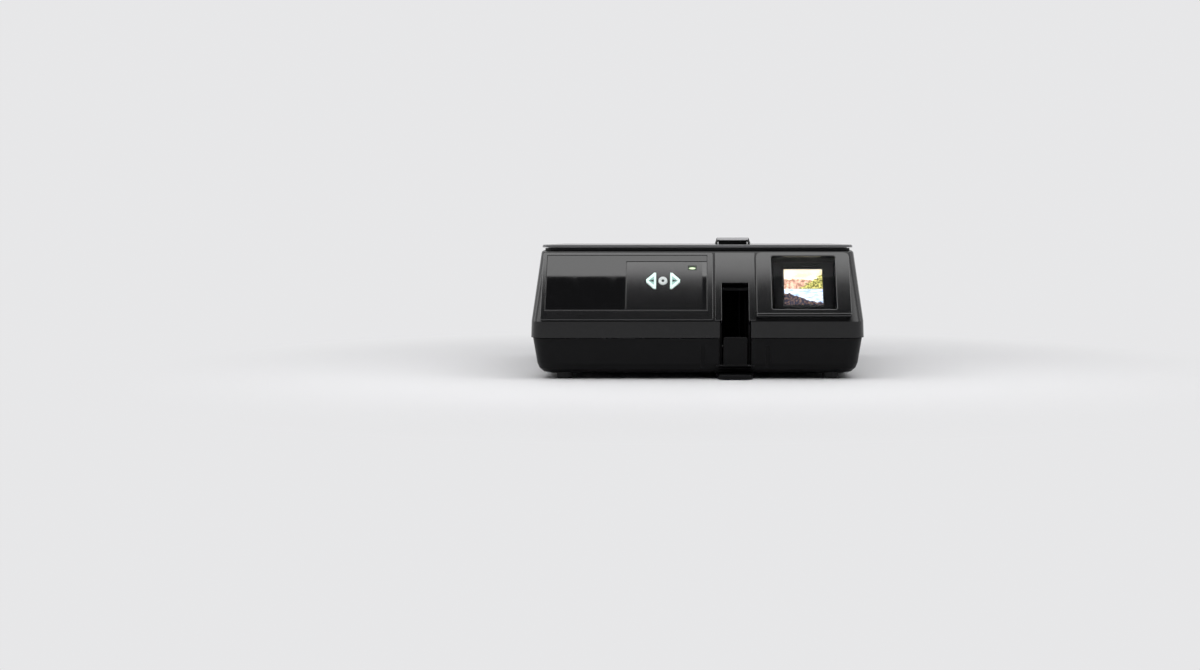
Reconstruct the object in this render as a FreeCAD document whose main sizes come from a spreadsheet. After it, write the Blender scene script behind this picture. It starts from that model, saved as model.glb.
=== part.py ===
import FreeCAD, Part
import math
import os
import re

import Sketcher
from FreeCAD import Placement, Rotation, Vector

# Desktop film and slide scanner: an upright holder channel, a tilted control front and a lit slide viewer.
# The origin lies on the table under the middle of the object, the front faces -Y and +X is to the right.

doc = FreeCAD.newDocument("film_scanner")
sheet = doc.addObject("Spreadsheet::Sheet", "Sizes")
FUNCTIONS = ("sin", "cos", "tan", "atan", "sqrt")
ACROSS = Vector(1, 0, 0)
BACK = Vector(0, 1, 0)
UP = Vector(0, 0, 1)
nodes = {}
rows = iter(range(1, 400))


def sizes(table):
    """Write driving dimensions into the sheet, one row with an alias each."""
    for alias, number in table.items():
        row = next(rows)
        sheet.set(f"A{row}", alias)
        sheet.set(f"B{row}", str(number))
        sheet.setAlias(f"B{row}", alias)
    doc.recompute([sheet])


def cells(text):
    """Put the sheet's name before each size in a formula."""
    def bound(word):
        return word[0] if word[0] in FUNCTIONS else "Sizes." + word[0]

    return re.sub(r"[a-z]\w*", bound, str(text))


def value(text):
    """Work a formula out as a number."""
    return float(sheet.evalExpression(cells(text)))


# Sketch, pad and pocket helpers

def sketch_on(body, plane, lift):
    """Attach an empty sketch to one of the body's origin planes, lifted along its normal."""
    sketch = body.newObject("Sketcher::SketchObject", body.Name + "_sketch")
    origin_plane = next(item for item in body.Origin.OriginFeatures if item.Role == plane + "_Plane")
    sketch.AttachmentSupport = [(origin_plane, "")]
    sketch.MapMode = "FlatFace"
    sketch.setExpression("AttachmentOffset.Base.z", cells(lift))
    return sketch


def pin(sketch, geometry, point, across, along):
    """Hold one point of the sketch at bound distances from its origin."""
    for kind, text in (("DistanceX", across), ("DistanceY", along)):
        if text is None:
            continue
        index = sketch.addConstraint(Sketcher.Constraint(kind, -1, 1, geometry, point, value(text)))
        sketch.setExpression(f"Constraints[{index}]", cells(text))


def outline(sketch, points):
    """Draw a closed outline; a third entry rounds that square corner with an arc."""
    number = [(value(point[0]), value(point[1])) for point in points]
    stretches = []
    for index, point in enumerate(points):
        if len(point) == 2:
            stretches.append([(point[0], point[1])])
            continue
        corner = []
        for other in (index - 1, (index + 1) % len(points)):
            step_x = number[other][0] - number[index][0]
            step_y = number[other][1] - number[index][1]
            level = abs(step_x) > abs(step_y)
            sign = "+" if (step_x if level else step_y) > 0 else "-"
            moved = f"({point[0 if level else 1]}) {sign} ({point[2]})"
            corner.append((moved, point[1]) if level else (point[0], moved))
        stretches.append(corner)
    ends = []
    for index, stretch in enumerate(stretches):
        follower = stretches[(index + 1) % len(stretches)]
        start = Vector(value(stretch[-1][0]), value(stretch[-1][1]), 0)
        stop = Vector(value(follower[0][0]), value(follower[0][1]), 0)
        line = sketch.addGeometry(Part.LineSegment(start, stop), False)
        pin(sketch, line, 1, *stretch[-1])
        ends.append(line)
    for index, stretch in enumerate(stretches):
        before, after = ends[index - 1], ends[index]
        if len(stretch) == 1:
            sketch.addConstraint(Sketcher.Constraint("Coincident", before, 2, after, 1))
            continue
        pin(sketch, before, 2, *stretch[0])
        first = Vector(value(stretch[0][0]), value(stretch[0][1]), 0)
        last = Vector(value(stretch[1][0]), value(stretch[1][1]), 0)
        vertex = Vector(*number[index], 0)
        centre = first + last - vertex
        middle = centre + (vertex - centre).normalize() * (first - centre).Length
        arc = sketch.addGeometry(Part.Arc(first, middle, last), False)
        turns_left = (vertex - first).cross(last - vertex).z > 0
        one, two = (1, 2) if turns_left else (2, 1)
        sketch.addConstraint(Sketcher.Constraint("Coincident", before, 2, arc, one))
        sketch.addConstraint(Sketcher.Constraint("Coincident", arc, two, after, 1))
        level = abs(first.y - number[index][1]) < abs(first.x - number[index][0])
        pin(sketch, arc, 3, stretch[0][0] if level else stretch[1][0], None)


def circle(sketch, across, along, radius):
    """Draw a circle held at its centre and by its radius."""
    centre = Vector(value(across), value(along), 0)
    ring = sketch.addGeometry(Part.Circle(centre, Vector(0, 0, 1), value(radius)), False)
    pin(sketch, ring, 3, across, along)
    index = sketch.addConstraint(Sketcher.Constraint("Radius", ring, value(radius)))
    sketch.setExpression(f"Constraints[{index}]", cells(radius))


def new_body(name):
    """Start a sub-part whose label names its file."""
    body = doc.addObject("PartDesign::Body", name)
    body.Label = name
    nodes[name] = body
    return body


def drawn(body, plane, lift, shapes):
    """Draw outlines, given as lists of points, and circles, given as triples, in one sketch."""
    sketch = sketch_on(body, plane, lift)
    for shape in shapes:
        if isinstance(shape, tuple):
            circle(sketch, *shape)
        else:
            outline(sketch, shape)
    return sketch


def pad(body, plane, lift, length, *shapes):
    """Raise the shapes along the plane's normal, from the lift."""
    feature = body.newObject("PartDesign::Pad", body.Name + "_pad")
    feature.Profile = drawn(body, plane, lift, shapes)
    feature.setExpression("Length", cells(length))
    return feature


def pocket(body, plane, lift, length, *shapes):
    """Cut the shapes away along the plane's normal, from the lift."""
    feature = body.newObject("PartDesign::Pocket", body.Name + "_pocket")
    feature.Profile = drawn(body, plane, lift, shapes)
    feature.Reversed = True
    feature.setExpression("Length", cells(length))
    return feature


def loft(body, kind, sections):
    """Join level outlines, each given with its height, by straight flanks."""
    sketches = [drawn(body, "XY", height, [points]) for height, points in sections]
    feature = body.newObject("PartDesign::" + kind, body.Name + "_loft")
    feature.Profile = sketches[0]
    feature.Sections = sketches[1:]
    feature.Ruled = True
    return feature


def soften(body, radius, chosen, kind="Fillet"):
    """Round or bevel the chosen edges of the body's last feature."""
    doc.recompute()
    last = body.Tip
    names = [f"Edge{i + 1}" for i, edge in enumerate(last.Shape.Edges) if chosen(edge)]
    feature = body.newObject("PartDesign::" + kind, body.Name + "_edge")
    feature.Base = (last, names)
    feature.setExpression("Radius" if kind == "Fillet" else "Size", cells(radius))
    return feature


def rectangle(left, right, low, high, corner=None):
    """Give the four corners of an upright rectangle, rounded where a radius is given."""
    extra = (corner,) if corner else ()
    return [(left, low) + extra, (right, low) + extra, (right, high) + extra, (left, high) + extra]


def runs_along(edge, axis):
    """Say whether an edge is straight and runs along the axis."""
    parallel_share = 0.999
    straight = edge.Curve.TypeId == "Part::GeomLine"
    return straight and abs(edge.tangentAt(edge.FirstParameter).dot(axis)) > parallel_share


def lies_at(number, text):
    """Say whether a place is where a formula puts it."""
    return abs(number - value(text)) < value("tolerance")


def faces_out(edge, depth):
    """Say whether an edge of a leaning sub-part lies in its outer face, that far out of the slope."""
    box = edge.BoundBox
    return lies_at(box.YMin, f"-({depth})") and lies_at(box.YMax, f"-({depth})")


def place(item, across="0", back="0", up="0"):
    """Bind where a sub-part stands."""
    for axis, text in (("x", across), ("y", back), ("z", up)):
        item.setExpression("Placement.Base." + axis, cells(text))


def lean(item):
    """Stand a sub-part on the tilted front: its own XZ plane becomes that face, -Y points out of it."""
    item.Placement = Placement(Vector(), Rotation(ACROSS, -value("tilt")))
    item.setExpression("Placement.Rotation.Angle", cells("-tilt"))
    place(item, "0", FRONT, SLOPE_FOOT)


def block(name, wide, deep, tall, across, back, up):
    """Make a plain block from its size and its low corner."""
    item = doc.addObject("Part::Box", name)
    item.Label = name
    for key, text in (("Length", wide), ("Width", deep), ("Height", tall)):
        item.setExpression(key, cells(text))
    place(item, across, back, up)
    nodes[name] = item
    return item


def rod(name, radius, length, across, back, up, along=UP):
    """Make a round bar from the centre of its first end."""
    item = doc.addObject("Part::Cylinder", name)
    item.Label = name
    item.Placement = Placement(Vector(), Rotation(UP, along))
    item.setExpression("Radius", cells(radius))
    item.setExpression("Height", cells(length))
    place(item, across, back, up)
    nodes[name] = item
    return item


def joined(name, kind, items):
    """Fuse, cut or group primitives into one sub-part."""
    item = doc.addObject("Part::" + kind, name)
    item.Label = name
    if kind == "Cut":
        item.Base, item.Tool = items
    elif kind == "Compound":
        item.Links = items
    else:
        item.Shapes = items
    for used in items:
        nodes.pop(used.Name, None)
    nodes[name] = item
    return item


# Driving sizes of the whole object

HOUSING_SIZES = {
    "case_wide": 290, "case_deep": 284, "lip_reach": 5, "foot_high": 4.5, "lower_high": 30.9,
    "seam_gap": 0.6, "band_high": 14, "slope_high": 61.4, "tilt": 28, "wall": 2.5, "clearance": 0.3,
    "running_fit": 0.05, "tolerance": 0.01,
    "overrun": 2, "corner_round": 14, "seam_step": 1.5, "lower_draft": 4.7, "base_round": 9,
    "band_draft": 0.4, "side_taper": 6, "rear_taper": 2, "top_round": 2.4, "top_thick": 3, "top_frame": 9,
    "lid_gap": 2.5, "lid_thick": 2.4, "lid_inset": 0.6, "channel_x": 32.8, "channel_wide": 23.3,
    "channel_floor": 9.5, "channel_high": 73, "guide_wall": 1.8,
}
sizes(HOUSING_SIZES)

FRONT = "(lip_reach - case_deep) / 2"
REAR = "(lip_reach + case_deep) / 2"
SEAM = "(foot_high + lower_high)"
UPPER_FOOT = f"({SEAM} + seam_gap)"
SLOPE_FOOT = f"({UPPER_FOOT} + band_high)"
TOP = f"({SLOPE_FOOT} + slope_high)"
SLOPE_RUN = "(slope_high * tan(tilt))"
LID_FOOT = f"({TOP} + lid_gap)"
LID_TOP = f"({LID_FOOT} + lid_thick)"
CHANNEL_LEFT = "(channel_x - channel_wide / 2)"
CHANNEL_RIGHT = "(channel_x + channel_wide / 2)"
CHANNEL_TOP = "(channel_floor + channel_high)"
SLOPE_LONG = "(slope_high / cos(tilt))"
ROUND_STEPS = (0, 30, 60, 90)


def plan(side, front, rear="0", corner="corner_round"):
    """Give the housing's plan, drawn in from its full width and depth by the three amounts."""
    half = f"case_wide / 2 - ({side})"
    return rectangle(f"-({half})", half, f"{FRONT} + {front}", f"{REAR} - ({rear})", corner)


# Lower case: a drafted tub with a rounded foot, the channel's mouth and exit, screw posts and rear cut-outs

LOWER_CASE_SIZES = {
    "case_floor": 2.5, "floor_bevel": 5, "mouth_side": 4, "post_round": 4.2, "post_inset": 16,
    "screw_round": 1.5, "screw_head": 3, "screw_head_high": 1.8, "groove_wide": 4, "groove_deep": 1.2,
    "groove_high": 20, "groove_drop": 6, "groove_apart": 56.4, "rib_thick": 2, "socket_z": 20,
    "usb_x": -58, "usb_wide": 12, "usb_high": 10.8, "jack_x": -86, "jack_round": 5.2, "switch_x": -114,
    "switch_wide": 19, "switch_high": 12.8, "foot_round": 7, "foot_side": 116, "foot_front": 18,
    "foot_sunk": 1.2, "upper_post_high": 12, "flap_pin_round": 0.8, "flap_pin_seat": 3, "flap_pin_y": 6.4,
    "flap_pin_z": 11.6, "chassis_left": -96, "chassis_right": 16, "chassis_front": -70,
    "chassis_back": 90, "chassis_z": 10, "chassis_thick": 1.5, "standoff_round": 3, "standoff_inset": 8,
    "board_left": -101, "board_right": -42, "board_front": 97, "board_back": 131, "board_z": 13,
    "board_thick": 1.6,
}
sizes(LOWER_CASE_SIZES)

POSTS = [(f"{side} (case_wide / 2 - post_inset)", place_y)
         for side in ("-", "") for place_y in (f"{FRONT} + post_inset", f"{REAR} - post_inset")]
FEET = [(f"{side} foot_side", place_y)
        for side in ("-", "") for place_y in (f"{FRONT} + foot_front", f"{REAR} - foot_front")]
LOWER_REAR = f"({REAR} - seam_step)"
INNER_FLOOR = "(foot_high + case_floor)"
CHASSIS_FEET = [(x, y) for x in ("chassis_left + standoff_inset", "chassis_right - standoff_inset")
                for y in ("chassis_front + standoff_inset", "chassis_back - standoff_inset")]
BOARD_FEET = [(x, y) for x in ("board_left + standoff_inset", "board_right - standoff_inset")
              for y in ("board_front + standoff_inset", "board_back - standoff_inset")]
FRONT_DRAFT = "atan(lower_draft / lower_high)"
MOUTH_LEFT = f"({CHANNEL_LEFT} - mouth_side + guide_wall)"
MOUTH_RIGHT = f"({CHANNEL_RIGHT} + mouth_side - guide_wall)"


def build_lower_case():
    body = new_body("lower_case")
    levels = []
    for turn in ROUND_STEPS:
        rise = f"base_round * (1 - cos({turn}))"
        drawn_in = f"base_round * (1 - sin({turn}))"
        side = f"seam_step + lower_draft * (1 - {rise} / lower_high) + {drawn_in}"
        rear = f"seam_step + {drawn_in}"
        levels.append((f"foot_high + {rise}", plan(side, side, rear, f"corner_round - {drawn_in}")))
    levels.append((SEAM, plan("seam_step", "seam_step", "seam_step")))
    loft(body, "AdditiveLoft", levels)
    inner = "corner_round - wall"
    rim = "seam_step + wall"
    low_rim = f"{rim} + lower_draft"
    floor_plan = plan(f"{low_rim} + floor_bevel", f"{low_rim} + floor_bevel", f"{rim} + floor_bevel", inner)
    loft(body, "SubtractiveLoft", [(INNER_FLOOR, floor_plan),
                                   (f"{INNER_FLOOR} + floor_bevel", plan(low_rim, low_rim, rim, inner)),
                                   (SEAM, plan(rim, rim, rim, inner))])
    for stands, top, radius in ((POSTS, f"{SEAM} - clearance", "post_round"),
                                (CHASSIS_FEET, "chassis_z", "standoff_round"),
                                (BOARD_FEET, "board_z", "standoff_round")):
        pad(body, "XY", INNER_FLOOR, f"{top} - {INNER_FLOOR}", *[(x, y, radius) for x, y in stands])
    pocket(body, "XY", "foot_high", "lower_high", *[(x, y, "screw_round + clearance") for x, y in POSTS])
    pocket(body, "XY", "foot_high - overrun", "overrun + screw_head_high + clearance",
           *[(x, y, "screw_head + clearance") for x, y in POSTS])
    pocket(body, "XY", "foot_high - overrun", "overrun + foot_sunk",
           *[(x, y, "foot_round + clearance") for x, y in FEET])
    mouth = rectangle(MOUTH_LEFT, MOUTH_RIGHT, "channel_floor", f"{SEAM} + overrun")
    pocket(body, "XZ", f"-({FRONT} + floor_bevel + wall + mouth_side)", "case_deep", mouth)
    exit_hole = rectangle(CHANNEL_LEFT, CHANNEL_RIGHT, "channel_floor", f"{SEAM} + overrun")
    pocket(body, "XZ", f"-({REAR} + overrun)", "overrun + seam_step + wall + floor_bevel", exit_hole)
    front_face = sketch_on(body, "XZ", f"-({FRONT} + seam_step)")
    front_face.AttachmentOffset = Placement(Vector(), Rotation(ACROSS, value(FRONT_DRAFT)))
    front_face.setExpression("AttachmentOffset.Rotation.Angle", cells(FRONT_DRAFT))
    front_face.setExpression("AttachmentOffset.Base.y", cells(SEAM))
    front_face.setExpression("AttachmentOffset.Base.z", cells(f"-({FRONT} + seam_step)"))
    for side in ("-", "+"):
        middle = f"channel_x {side} groove_apart / 2"
        outline(front_face, rectangle(f"{middle} - groove_wide / 2", f"{middle} + groove_wide / 2",
                                      "-(groove_drop + groove_high)", "-groove_drop", "groove_wide / 3"))
    grooves = body.newObject("PartDesign::Pocket", "lower_case_grooves")
    grooves.Profile = front_face
    grooves.setExpression("Length", cells("groove_deep"))
    usb = rectangle("usb_x - usb_wide / 2 - clearance", "usb_x + usb_wide / 2 + clearance",
                    "socket_z - usb_high / 2 - clearance", "socket_z + usb_high / 2 + clearance")
    switch = rectangle("switch_x - switch_wide / 2", "switch_x + switch_wide / 2",
                       "socket_z - switch_high / 2", "socket_z + switch_high / 2")
    pocket(body, "XZ", f"-({REAR} + overrun)", "overrun + seam_step + wall + overrun", usb, switch,
           ("jack_x", "socket_z", "jack_round + clearance"))
    pocket(body, "YZ", f"{MOUTH_LEFT} - flap_pin_seat", f"{MOUTH_RIGHT} - {MOUTH_LEFT} + 2 * flap_pin_seat",
           (f"{FRONT} + flap_pin_y", "flap_pin_z", "flap_pin_round + running_fit"))


# Upper case: band, tilted front and tapering sides, open below and under the lid

UPPER_CASE_SIZES = {
    "fascia_left": -136, "fascia_right": 13.6, "fascia_low": 0.6, "fascia_high": 66, "fascia_thick": 2.4,
    "fascia_round": 2, "bezel_left": 51.2, "bezel_right": 133.4, "bezel_low": 3.2, "bezel_high": 66,
    "bezel_thick": 3.4, "bezel_round": 5, "viewer_x": 92.8, "viewer_wide": 56, "viewer_low": 10.6,
    "viewer_high": 62, "well_wall": 1.4, "well_deep": 24, "window_left": -58, "window_right": 8,
    "window_low": 16, "window_high": 58, "mouth_left": 15.2, "mouth_right": 50.4, "mouth_thick": 1.4,
    "jamb_thick": 1.6, "jamb_deep": 9, "mouth_high": 66.6, "vent_count": 12, "vent_wide": 3,
    "vent_high": 30, "vent_pitch": 7, "vent_x": -122, "vent_z": 62, "hinge_x": 96, "knuckle_round": 2.3,
    "knuckle_wide": 10, "hinge_back": 5, "hinge_pin_round": 1.2,
}
sizes(UPPER_CASE_SIZES)

MOUTH_V = f"(({CHANNEL_TOP} - {SLOPE_FOOT}) / cos(tilt))"
HINGE_Y = f"({REAR} - rear_taper - hinge_back)"
HINGE_Z = f"({LID_FOOT} - knuckle_round + lid_thick)"
PIN_HOLE = (HINGE_Y, HINGE_Z, "hinge_pin_round + running_fit")
DECK_TOP = f"({TOP} - top_thick)"


def build_upper_case():
    body = new_body("upper_case")
    foot = plan("0", "0")
    waist = plan("band_draft", "0", "0")
    levels = [(UPPER_FOOT, foot), (SLOPE_FOOT, waist)]
    for turn in ROUND_STEPS:
        drop = f"top_round * (1 - sin({turn}))"
        drawn_in = f"top_round * (1 - cos({turn}))"
        share = f"(1 - {drop} / slope_high)"
        side = f"band_draft + (side_taper - band_draft) * {share} + {drawn_in}"
        levels.append((f"{TOP} - {drop}", plan(side, f"{SLOPE_RUN} * {share} + {drawn_in}",
                                               f"rear_taper * {share} + {drawn_in}",
                                               f"corner_round - {drawn_in}")))
    loft(body, "AdditiveLoft", levels)
    inner = "corner_round - wall"
    sloped_wall = "wall / cos(tilt)"
    loft(body, "SubtractiveLoft", [(UPPER_FOOT, plan("wall", "wall", "wall", inner)),
                                   (SLOPE_FOOT, plan("band_draft + wall", "wall", "wall", inner)),
                                   (TOP, plan("side_taper + wall", f"{SLOPE_RUN} + {sloped_wall}",
                                              "rear_taper + wall", inner))])
    seat = "wall - clearance"
    frame = plan(f"side_taper + {seat}", f"{SLOPE_RUN} + {sloped_wall} - clearance",
                 f"rear_taper + {seat}", inner)
    pad(body, "XY", DECK_TOP, "top_thick", frame)
    gap = plan("side_taper + wall + top_frame", f"{SLOPE_RUN} + {sloped_wall} + top_frame",
               "rear_taper + wall + top_frame", inner)
    pocket(body, "XY", f"{DECK_TOP} - overrun", "top_thick + 2 * overrun", gap)
    pad(body, "XY", UPPER_FOOT, "upper_post_high", *[(x, y, "post_round") for x, y in POSTS])
    for x, y in POSTS:
        wall_middle = f"{'-' if value(x) < 0 else ''} (case_wide / 2 - wall / 2 - band_draft)"
        left, right = sorted((x, wall_middle), key=value)
        pad(body, "XY", UPPER_FOOT, "upper_post_high",
            rectangle(left, right, f"{y} - rib_thick / 2", f"{y} + rib_thick / 2"))
    pocket(body, "XY", f"{UPPER_FOOT} - overrun", "upper_post_high",
           *[(x, y, "screw_round") for x, y in POSTS])
    around = "jamb_thick + clearance"
    notch = rectangle(f"{CHANNEL_LEFT} - ({around})", f"{CHANNEL_RIGHT} + {around}",
                      f"{UPPER_FOOT} - overrun", f"{CHANNEL_TOP} + {around}")
    pocket(body, "XZ", f"-({FRONT} + {SLOPE_RUN} + wall)", "case_deep", notch)
    exit_hole = rectangle(CHANNEL_LEFT, CHANNEL_RIGHT, f"{UPPER_FOOT} - overrun", CHANNEL_TOP)
    pocket(body, "XZ", f"-({REAR} + overrun)", "overrun + wall + rear_taper + overrun", exit_hole)
    slots = sketch_on(body, "XZ", f"-({REAR} + overrun)")
    outline(slots, rectangle("vent_x", "vent_x + vent_wide", "vent_z", "vent_z + vent_high"))
    vent = body.newObject("PartDesign::Pocket", "upper_case_vent")
    vent.Profile = slots
    vent.Reversed = True
    vent.setExpression("Length", cells("overrun + wall + rear_taper + overrun"))
    pattern = body.newObject("PartDesign::LinearPattern", "upper_case_vents")
    pattern.Originals = [vent]
    pattern.Direction = (slots, ["H_Axis"])
    pattern.setExpression("Length", cells("vent_pitch * (vent_count - 1)"))
    pattern.setExpression("Occurrences", cells("vent_count"))
    body.Tip = pattern
    windows = sketch_on(body, "XZ", f"-({FRONT})")
    windows.AttachmentOffset = Placement(Vector(), Rotation(-ACROSS, value("tilt")))
    windows.setExpression("AttachmentOffset.Rotation.Angle", cells("tilt"))
    windows.setExpression("AttachmentOffset.Base.y", cells(SLOPE_FOOT))
    windows.setExpression("AttachmentOffset.Base.z", cells(f"-({FRONT})"))
    outline(windows, rectangle("window_left", "window_right", "window_low", "window_high"))
    outline(windows, rectangle("viewer_x - viewer_wide / 2 - well_wall - clearance",
                               "viewer_x + viewer_wide / 2 + well_wall + clearance",
                               "viewer_low - well_wall - clearance", "viewer_high + well_wall + clearance"))
    opened = body.newObject("PartDesign::Pocket", "upper_case_windows")
    opened.Profile = windows
    opened.setExpression("Length", cells("wall + overrun"))
    stem = rectangle(f"{HINGE_Y} - knuckle_round", f"{HINGE_Y} + knuckle_round", DECK_TOP, HINGE_Z)
    for side, turn in (("-", "-"), ("-", "+"), ("", "-"), ("", "+")):
        start = f"{side} hinge_x {turn} (knuckle_wide + clearance) - knuckle_wide / 2"
        pad(body, "YZ", start, "knuckle_wide", stem)
        pad(body, "YZ", start, "knuckle_wide", (HINGE_Y, HINGE_Z, "knuckle_round"))
    pocket(body, "YZ", "-case_wide / 2", "case_wide", PIN_HOLE)


# Hinged lid over the whole top, its skirt, slot and knuckles, with two hinge pins

LID_SIZES = {
    "lid_edge": 1.2, "skirt_inset": 5, "skirt_thick": 2, "slot_wide": 37, "slot_deep": 12, "gate_y": -30,
}
sizes(LID_SIZES)


def build_lid():
    body = new_body("top_lid")
    knuckle_line = "rear_taper + hinge_back + knuckle_round + clearance"
    plate = plan("side_taper + lid_inset", f"{SLOPE_RUN} + lid_inset", knuckle_line)
    pad(body, "XY", LID_FOOT, "lid_thick", plate)
    soften(body, "lid_edge", lambda edge: lies_at(edge.BoundBox.ZMin, LID_TOP))
    skirt = [f"{side} + skirt_inset" for side in ("side_taper", SLOPE_RUN, "rear_taper + hinge_back")]
    outer = plan(*skirt)
    inner = plan(*[f"{side} + skirt_thick" for side in skirt], "corner_round - skirt_thick")
    pad(body, "XY", f"{TOP} + clearance", "lid_gap - clearance", outer, inner)
    pocket(body, "XY", LID_FOOT, "lid_thick + overrun",
           rectangle("channel_x - slot_wide / 2", "channel_x + slot_wide / 2",
                     "gate_y - slot_deep / 2", "gate_y + slot_deep / 2"))
    for side in ("-", ""):
        start = f"{side} hinge_x - knuckle_wide / 2"
        pad(body, "YZ", start, "knuckle_wide",
            rectangle(f"{HINGE_Y} - 2 * knuckle_round", HINGE_Y, f"{HINGE_Z} - knuckle_round / 2", LID_TOP))
        pad(body, "YZ", start, "knuckle_wide", (HINGE_Y, HINGE_Z, "knuckle_round"))
    pocket(body, "YZ", "-case_wide / 2", "case_wide", PIN_HOLE)
    long = "(3 * knuckle_wide + 2 * clearance)"
    pins = []
    for name, side in (("hinge_pin_left", "-"), ("hinge_pin_right", "")):
        start = f"{side} hinge_x - {long} / 2"
        pins.append(rod(name, "hinge_pin_round", long, start, HINGE_Y, HINGE_Z, ACROSS))
    joined("lid_hinge_pins", "Compound", pins)


# Deck under the lid with the long slot over the channel and the cross slot for the lifter

DECK_SIZES = {
    "deck_thick": 1.8, "deck_inset": 1.4, "deck_slot_front": -96, "deck_slot_back": 112, "deck_round": 4,
    "yoke_thick": 2.2, "post_deep": 6,
}
sizes(DECK_SIZES)

YOKE_OUT = "(channel_wide / 2 + guide_wall + clearance + yoke_thick)"


def build_deck():
    body = new_body("inner_deck")
    shape = plan("side_taper + wall + deck_inset", f"{SLOPE_RUN} + wall / cos(tilt) + deck_inset",
                 "rear_taper + wall + deck_inset", "corner_round - wall - deck_inset")
    pad(body, "XY", f"{DECK_TOP} - deck_thick", "deck_thick", shape)
    pocket(body, "XY", f"{DECK_TOP} - deck_thick - overrun", "deck_thick + 2 * overrun",
           rectangle(CHANNEL_LEFT, CHANNEL_RIGHT, "deck_slot_front", "deck_slot_back", "deck_round"))
    pocket(body, "XY", f"{DECK_TOP} - deck_thick - overrun", "deck_thick + 2 * overrun",
           rectangle(f"channel_x - {YOKE_OUT} - clearance", f"channel_x + {YOKE_OUT} + clearance",
                     "gate_y - post_deep / 2 - clearance", "gate_y + post_deep / 2 + clearance"))


# Left front: fascia with the two gloss panels, three sprung keys, the light pipe and their board

PANELS_SIZES = {
    "panel_left": -132, "panel_split": -62.4, "panel_right": 8.2, "panel_low": 10.2, "panel_high": 62.9,
    "panel_step": 57, "panel_sunk": 1.2, "panel_thick": 1.5, "panel_gap": 0.3, "key_low": 26,
    "key_high": 50, "key_left": -48, "key_right": -12, "back_x": -40.5, "power_x": -30.2,
    "forward_x": -19.6, "key_v": 38, "arrow_wide": 8.7, "arrow_high": 15.6, "arrow_nose": 1.2,
    "arrow_heel": 1.8, "nose_share": 1.4, "ring_round": 3.9, "ring_bore": 1.5, "key_proud": 0.7,
    "key_travel": 1, "key_foot": 0.9, "stem_round": 1.6, "led_x": -4.6, "led_v": 50.8, "led_wide": 6.8,
    "led_high": 3.8, "led_proud": 0.2, "board_depth": 5.2, "control_left": -56, "control_right": 8,
    "control_low": 18, "control_high": 56, "control_thick": 1.6, "boss_round": 2, "boss_inset": 4,
    "switch_side": 5, "keycap_dip": 0.4, "fascia_edge": 0.7, "recess_edge": 0.4, "panel_edge": 0.3,
    "key_edge": 0.4,
}
sizes(PANELS_SIZES)

KEY_FACE = "(fascia_thick - panel_sunk + panel_thick)"


def arrow(middle, turned, grown):
    """Give an arrowhead's outline; turned is 1 where it points to +X."""
    nose = f"{middle} + {turned} * (arrow_wide / 2 + {grown} * nose_share)"
    heel = f"{middle} - {turned} * (arrow_wide / 2 + {grown})"
    cheek = f"{middle} - {turned} * (arrow_wide / 2 - arrow_heel)"
    tall = f"arrow_high / 2 + {grown}"
    flat = f"arrow_nose + {grown}"
    points = [(heel, f"key_v - ({tall})"), (cheek, f"key_v - ({tall})"), (nose, f"key_v - ({flat})"),
              (nose, f"key_v + {flat}"), (cheek, f"key_v + {tall}"), (heel, f"key_v + {tall}")]
    return points if turned == 1 else points[::-1]


def build_fascia():
    body = new_body("control_fascia")
    lean(body)
    pad(body, "XZ", "0", "fascia_thick",
        rectangle("fascia_left", "fascia_right", "fascia_low", "fascia_high", "fascia_round"))
    soften(body, "fascia_edge", lambda edge: faces_out(edge, "fascia_thick"))
    corners = [(x, v, "boss_round") for x in ("control_left + boss_inset", "control_right - boss_inset")
               for v in ("control_low + boss_inset", "control_high - boss_inset")]
    pad(body, "XZ", "-(board_depth - control_thick)", "board_depth - control_thick", *corners)
    pocket(body, "XZ", "fascia_thick - panel_sunk", "panel_sunk + overrun",
           rectangle("panel_left - panel_gap", "panel_right + panel_gap",
                     "panel_low - panel_gap", "panel_high + panel_gap"))
    soften(body, "recess_edge", lambda edge: faces_out(edge, "fascia_thick")
           and edge.BoundBox.XMin > value("panel_left - 2 * panel_gap")
           and edge.BoundBox.XMax < value("panel_right + 2 * panel_gap"))
    key_window = rectangle("key_left", "key_right", "key_low", "key_high")
    led_window = rectangle("led_x - led_wide / 2 - clearance", "led_x + led_wide / 2 + clearance",
                           "led_v - led_high / 2 - clearance", "led_v + led_high / 2 + clearance")
    pocket(body, "XZ", "-overrun", "fascia_thick + overrun", key_window, led_window)
    name_panel = new_body("name_panel")
    lean(name_panel)
    pad(name_panel, "XZ", "fascia_thick - panel_sunk", "panel_thick",
        [("panel_left", "panel_low"), ("panel_split", "panel_low"), ("panel_split", "panel_step"),
         ("panel_right", "panel_step"), ("panel_right", "panel_high"), ("panel_left", "panel_high")])
    soften(name_panel, "panel_edge", lambda edge: faces_out(edge, KEY_FACE))
    keys = new_body("button_panel")
    lean(keys)
    pad(keys, "XZ", "fascia_thick - panel_sunk", "panel_thick",
        rectangle("panel_split + panel_gap", "panel_right", "panel_low", "panel_step - panel_gap"))
    soften(keys, "panel_edge", lambda edge: faces_out(edge, KEY_FACE))
    pocket(keys, "XZ", "0", "fascia_thick + overrun", arrow("back_x", -1, "clearance"),
           arrow("forward_x", 1, "clearance"), ("power_x", "key_v", "ring_round + clearance"), led_window)


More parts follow.
